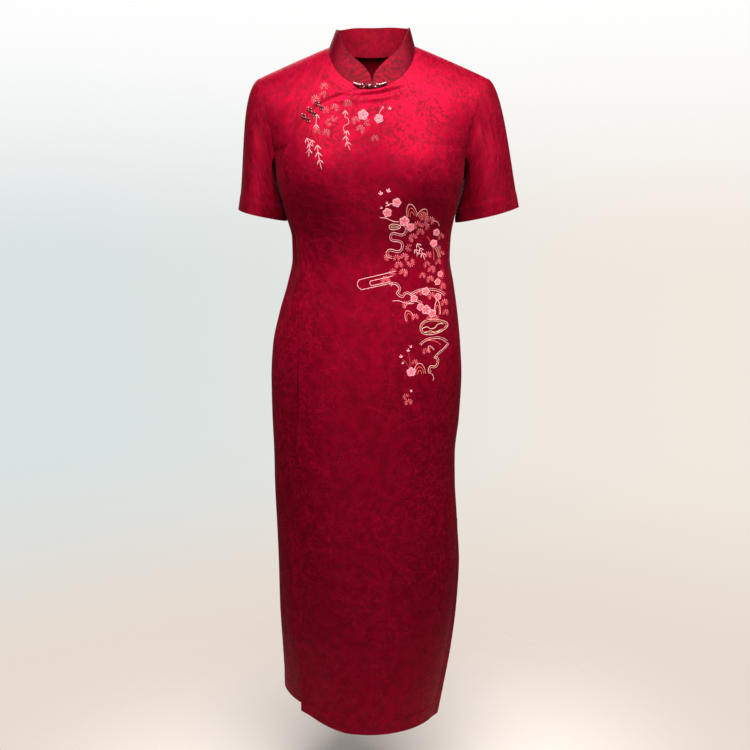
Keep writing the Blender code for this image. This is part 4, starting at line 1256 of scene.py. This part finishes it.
streams = {  # length, swing, heading, turns, overhang, thread and lines side by side
    "chest": [
        (-0.25, -1, 2.3, 0.5, -82, 1, 0.9, "scroll", 1),
        (5.1, -0.6, 1.2, 0.05, 62, 0.5, 0, "scroll", 1),
    ],
    "waist": [
        (0.9, -2.6, 1.4, 0.08, 22, 0.5, 0, "scroll", 1), (0, -4.4, 3.2, 0.12, -12, 1, 0, "scroll", 1),
        (3.2, -5.6, 5.6, 1.15, -102, 2, 1.35, "scroll", 2),
        (1.9, -15.7, 4.2, 0.62, -36, 1.5, 1.25, "scroll", 2),
        (2.2, -18.2, 3.6, 0.14, -8, 1, 0, "scroll", 1), (5.2, -17.4, 6, 1, -4, 0.5, 0.35, "scroll", 2),
        (4.2, -19.5, 2.9, 0.8, 12, 0.5, 0.35, "scroll", 2),
        (8.8, -5, 1.5, 0.3, -38, 0.5, 0, "scroll", 1), (8.9, -9.2, 2.4, 0.22, -62, 0.5, 0, "spray", 2),
        (7.9, -7.6, 4.2, 0.4, -72, 0.5, 0, "arch", 1),
        (10.4, -13.7, 2.8, 0.4, -92, 1.5, 1.1, "rose", 2),
        (7.2, -23.2, 3.8, 0.26, 8, 1.5, 0.6, "spray", 1),
        (7.7, -23.8, 2.8, 0.18, 4, 1, 0.6, "spray", 1),
        (7, -25.9, 4.6, 0.95, 0, 0.5, 0.35, "scroll", 2),
        (8.3, -25.2, 2.4, 0.3, -22, 0.5, 0, "arch", 1), (11.9, -26, 3.4, 0.1, -138, 1, 0, "scroll", 2),
        (9.5, -28.4, 2.6, 0.62, -104, 1, 1.25, "spray", 2),
        (9, -31, 1.3, 0.2, -76, 0.5, 0, "scroll", 1), (3.9, -28.1, 2.5, 0.12, -56, 0.5, 0, "leaf", 1),
        (4.9, -27.1, 2.9, 0.1, -84, 0.5, 0, "leaf", 1),
    ],
}
bars = {  # length, height and heading
    "chest": [],
    "waist": [(-0.4, -14.9, 6.8, 1.7, 11), (0.3, -14.9, 4, 0.8, 11)],
}
basins = {  # width and height
    "chest": [],
    "waist": [(9.2, -22.9, 5, 2.6), (2.4, -5.9, 1.9, 0.9)],
}
arches = {  # width, height, rings and turn
    "chest": [],
    "waist": [
        (5.3, -4.2, 1.7, 2, 3, 14), (6.7, -4.6, 1.7, 1.7, 3, -28), (5.2, -21.4, 1.5, 1.6, 2, 24),
        (9.9, -20.9, 1.1, 2.4, 2, 0), (6.9, -30.9, 2, 1.9, 3, 4), (9, -27.1, 0.9, 1.1, 2, 30),
    ],
}
sprigs = {  # places down the stem, leaf length and pairs of leaves
    "chest": [
        ([(-4.8, -0.4), (-4.9, -1.6), (-4.9, -3)], 0.66, 2),
        ([(-6.5, -4.1), (-6, -5.3), (-6.1, -7)], 0.7, 3),
        ([(-4.7, -5.2), (-4.5, -6.8), (-4, -9)], 0.78, 3), ([(-5.6, -4.4), (-5.4, -5.4)], 0.6, 1),
        ([(-0.2, 0.1), (-0.3, -1)], 0.66, 1), ([(0.1, -3), (-0.1, -4.2), (0.5, -6)], 0.7, 3),
    ],
    "waist": [
        ([(6.2, -8.7), (6.9, -9.9), (7.6, -11.5)], 0.7, 3), ([(5.8, -9.7), (6.5, -10.6)], 0.6, 2),
    ],
}

# what draws a row, the rows, how many of their facts are lengths, and the lengths' unit
centimetre = embroidery["centimetre"]
motifs = [
    (addStream, streams, 2, centimetre),
    (addBar, bars, 2, centimetre),
    (addBasin, basins, 2, centimetre),
    (addArches, arches, 2, centimetre),
    (addFan, fans, 1, embroidery["fanScale"]),
    (addBud, buds, 1, centimetre),
    (addRose, roses, 1, centimetre),
    (addBlossom, blossoms, 1, centimetre),
]


def stitchArea(area):
    anchor = np.array(embroidery["anchors"][area])
    for addMotif, rows, lengths, scale in motifs:
        for right, up, *facts in rows[area]:
            sizes = [scale * length for length in facts[:lengths]]
            addMotif(anchor + centimetre * np.array([right, up]), *sizes, *facts[lengths:])
    for places, leafLength, pairs in sprigs[area]:
        stem = anchor + centimetre * np.array(places)
        addSprig(stem, pairs, embroidery["sprigLeafScale"] * leafLength)


def makeThread(name, colour):
    material, tree, shader = newMaterial(name)
    place = addNode(tree, "UVMap", {}, uv_map="cloth")
    strand = {"Vector": place, "Scale": 1 / embroidery["threadPitch"], "Distortion": 1.2, "Detail": 1.0}
    strand = addNode(tree, "TexWave", strand, "Fac", bands_direction="X")
    uneven = calc(tree, "MULTIPLY", noiseOf(tree, place, 0.003, 2.0), 0.65)
    share = calc(tree, "MULTIPLY_ADD", strand, 0.35, uneven)
    setSockets(tree, shader, {
        "Base Color": mixColours(tree, share, dim(colour, 0.84), colour),
        "Normal": addNode(tree, "Bump", {"Height": strand, "Distance": 0.00012, "Strength": 0.6}),
        "Roughness": 0.42,
        "Sheen Weight": 0.20,
        "Sheen Tint": (*colour, 1.0),
        "Specular IOR Level": 0.35,
    })
    return material


def makeStitches(area, thread, grids):
    # all of an area's patches in one thread as one mesh
    name = area + thread.capitalize()
    vertices, quads, places = [], [], []
    for points in grids:
        cells = cellsOf(np.ones(points.shape[:2], bool))[:, ::-1]
        quads.append(cells + sum(map(len, vertices)))
        vertices.append(points.reshape(-1, 3))
        places.append(gridLengths(points).reshape(-1, 2)[:, ::-1][cells])
    colour = dim(embroidery["threads"][thread], embroidery["depths"][area])
    joined = map(np.concatenate, (vertices, quads, places))
    addPiece(makeMesh(name + "Stitches", *joined, makeThread(name + "Thread", colour)))


for area in embroidery["anchors"]:
    stitchArea(area)
    for thread in embroidery["threads"]:
        if threadWork[thread]:
            makeStitches(area, thread, threadWork.pop(thread))
print("dress: embroidery stitched")


claspForm = {
    "clearance": 0.0006,
    "ringShare": 3.5,            # the ring's radius in wire thicknesses
    "ringStations": 20,
    "loopStations": 26,
    "loopPower": 0.8,
    "seatStations": 41,
    "noseShare": 1.25,
    # the hook's nose: shares of the ring's radius, and lifts in wire thicknesses
    "nose": [(-1.6, 0.0), (-1.2, 1.6), (-0.5, 2.4), (0.2, 2.2), (0.7, 1.2), (0.6, 0.2)],
    # the pale metal and the fastenings' lighter bronze are partly the beads' own colour and partly painted
    # highlight, where glints show on the dark clasps
    "dark": (0.085, 0.009, 0.013),
    "pale": (0.98, 0.44, 0.45),
    "worn": (0.62, 0.20, 0.18),
}

# across and height of each clasp's middle, tilt in degrees, how far its ends rise, and its
# half's length, width and wire
clasps = {
    "collar_clasp": (-0.0034, -0.0714, 0.0, 0.0058, 0.0272, 0.0036, 0.00085),
    "upper_fastening": (-0.084, -0.1005, -49.0, 0.0, 0.0092, 0.0037, 0.00042),
    "middle_fastening": (-0.096, -0.11, -49.0, 0.0, 0.0092, 0.0037, 0.00042),
    "lower_fastening": (-0.106, -0.1195, -43.0, 0.0, 0.0092, 0.0037, 0.00042),
}

# beads of a half: share of its length and width, size in lengths, widths and thickness in widths, and
# whether it is pale; the pale beads' colour is partly their own and partly painted highlight
claspBeads = {
    "collar": [
        (0.8, 0.1, 0.2, 0.3, 0.4, True), (0.58, 0.1, 0.07, 0.4, 0.5, True),
        (0.42, 0.45, 0.045, 0.34, 0.5, True), (0.33, -0.45, 0.045, 0.34, 0.5, True),
        (0.66, -0.35, 0.22, 0.42, 0.3, False), (0.45, -0.1, 0.12, 0.5, 0.3, False),
        (0.24, 0.1, 0.09, 0.4, 0.3, False),
    ],
    "fastening": [
        (0.97, 0.0, 0.13, 0.34, 0.4, True), (0.42, 0.6, 0.12, 0.22, 0.28, True),
        (0.66, -0.6, 0.12, 0.2, 0.26, True), (0.3, -0.45, 0.1, 0.18, 0.24, True),
        (0.56, 0.0, 0.38, 0.84, 0.2, False),
    ],
}


def claspMetal(name, colour, rough, metallic):
    material, tree, shader = newMaterial(name)
    place = addNode(tree, "TexCoord", {}, "Object")
    grain = addNode(tree, "TexNoise", {"Vector": place, "Scale": 900.0, "Detail": 2.0})
    setSockets(tree, shader, {
        "Base Color": mixColours(tree, grain, dim(colour, 0.75), colour),
        "Roughness": calc(tree, "MULTIPLY_ADD", grain, 0.16, rough),
        "Normal": addNode(tree, "Bump", {"Height": grain, "Distance": 0.00005, "Strength": 0.5}),
        "Metallic": metallic,
    })
    return material


darkMetal = claspMetal("claspDarkMetal", claspForm["dark"], 0.34, 0.85)
metals = {
    "collar": [darkMetal, claspMetal("claspPaleMetal", claspForm["pale"], 0.26, 0.35)],
    "fastening": [darkMetal, claspMetal("claspGlintBronze", claspForm["worn"], 0.34, 0.55)],
}
claspTree = clothTree(frontPanel, underPiece, standCollar)


def addTube(form, points, radius, closed=False, sides=8):
    points = np.array(points)
    ahead = np.roll(points, -1, 0) - np.roll(points, 1, 0) if closed else np.gradient(points, axis=0)
    ahead = unit(ahead)
    aside = unit(np.cross(ahead, [0.0, -1.0, 0.0]))
    turns = np.linspace(0.0, 2 * np.pi, sides, endpoint=False)[:, None]
    spoke = np.cos(turns) * aside[:, None] + np.sin(turns) * np.cross(aside, ahead)[:, None]
    corners = [[form.verts.new(corner) for corner in row] for row in points[:, None] + radius * spoke]
    for one, two in zip(corners, corners[1:] + corners[:1] if closed else corners[1:]):
        for a, b in zip(range(sides), [*range(1, sides), 0]):
            form.faces.new((one[a], one[b], two[b], two[a]))
    if not closed:
        form.faces.new(corners[0][::-1])
        form.faces.new(corners[-1])


def makeClaspHalf(name, side):
    across, height, tilt, bow, halfLength, halfWidth, wire = clasps[name]
    tilt = math.radians(tilt)

    def onPlan(along, aside):
        rise = bow * (along / halfLength) ** 2
        return (across + along * math.cos(tilt) - aside * math.sin(tilt),
                height + along * math.sin(tilt) + aside * math.cos(tilt) + rise)

    # the cloth's nearest face to the viewer under each station
    stations = np.linspace(-halfLength, halfLength, claspForm["seatStations"])
    faces = []
    for along in stations:
        hits = [fromFront(claspTree, *onPlan(along, aside))[0] for aside in (-halfWidth, 0.0, halfWidth)]
        faces.append(min((hit.y for hit in hits if hit is not None and hit.y < 0), default=np.nan))
    known = ~np.isnan(faces)
    faces = np.interp(stations, stations[known], np.array(faces)[known])

    def seated(along, aside, lift):
        x, z = onPlan(along, aside)
        return x, np.interp(along, stations, faces) - claspForm["clearance"] - wire - lift, z

    form = bmesh.new()
    radius = claspForm["ringShare"] * wire
    start, power = 0.9 * radius, claspForm["loopPower"]
    shares = np.linspace(0.0, 1.0, claspForm["loopStations"])
    loop = []
    for edge, course in ((halfWidth, shares), (-halfWidth, shares[-2:0:-1])):
        for share in course:
            along = start + (halfLength - start) * share
            loop.append(seated(side * along, edge * math.sin(math.pi * share**power) ** power, 0.0))
    addTube(form, loop, wire, closed=True)
    kind = "collar" if name == "collar_clasp" else "fastening"
    beads = claspBeads[kind]
    if side > 0:
        part = name + "_eye"
        ring = arc(0.0, 360.0, claspForm["ringStations"] + 1, radius, radius)[:-1]
        addTube(form, [seated(*place, 0.3 * wire) for place in ring], wire, closed=True)
    else:
        part = name + "_hook"
        nose = [seated(radius * along, 0.0, wire * lift) for along, lift in claspForm["nose"]]
        addTube(form, nose, claspForm["noseShare"] * wire)
        beads = [*beads, (0.02, 0.0, 0.9 * radius / halfLength, 0.8 * radius / halfWidth, 0.45, True)]
    for along, aside, length, width, thick, isPale in beads:
        middle = seated(side * along * halfLength, aside * halfWidth, 0.6 * wire)
        slope = tilt + math.atan(2 * bow * side * along / halfLength)
        sizes = (length * halfLength, thick * halfWidth, width * halfWidth, 1.0)
        place = Matrix.Translation(middle) @ Matrix.Rotation(-slope, 4, "Y") @ Matrix.Diagonal(sizes)
        made = bmesh.ops.create_uvsphere(form, u_segments=14, v_segments=8, radius=1.0, matrix=place)
        for vertex in made["verts"]:
            for face in vertex.link_faces:
                face.material_index = int(isPale)
    mesh = bpy.data.meshes.new(part + "Metal")
    form.to_mesh(mesh)
    form.free()
    for metal in metals[kind]:
        mesh.materials.append(metal)
    mesh.shade_smooth()
    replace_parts(addPiece(mesh), part)


for name in clasps:
    for side in (1, -1):
        makeClaspHalf(name, side)
print("dress: clasps set")
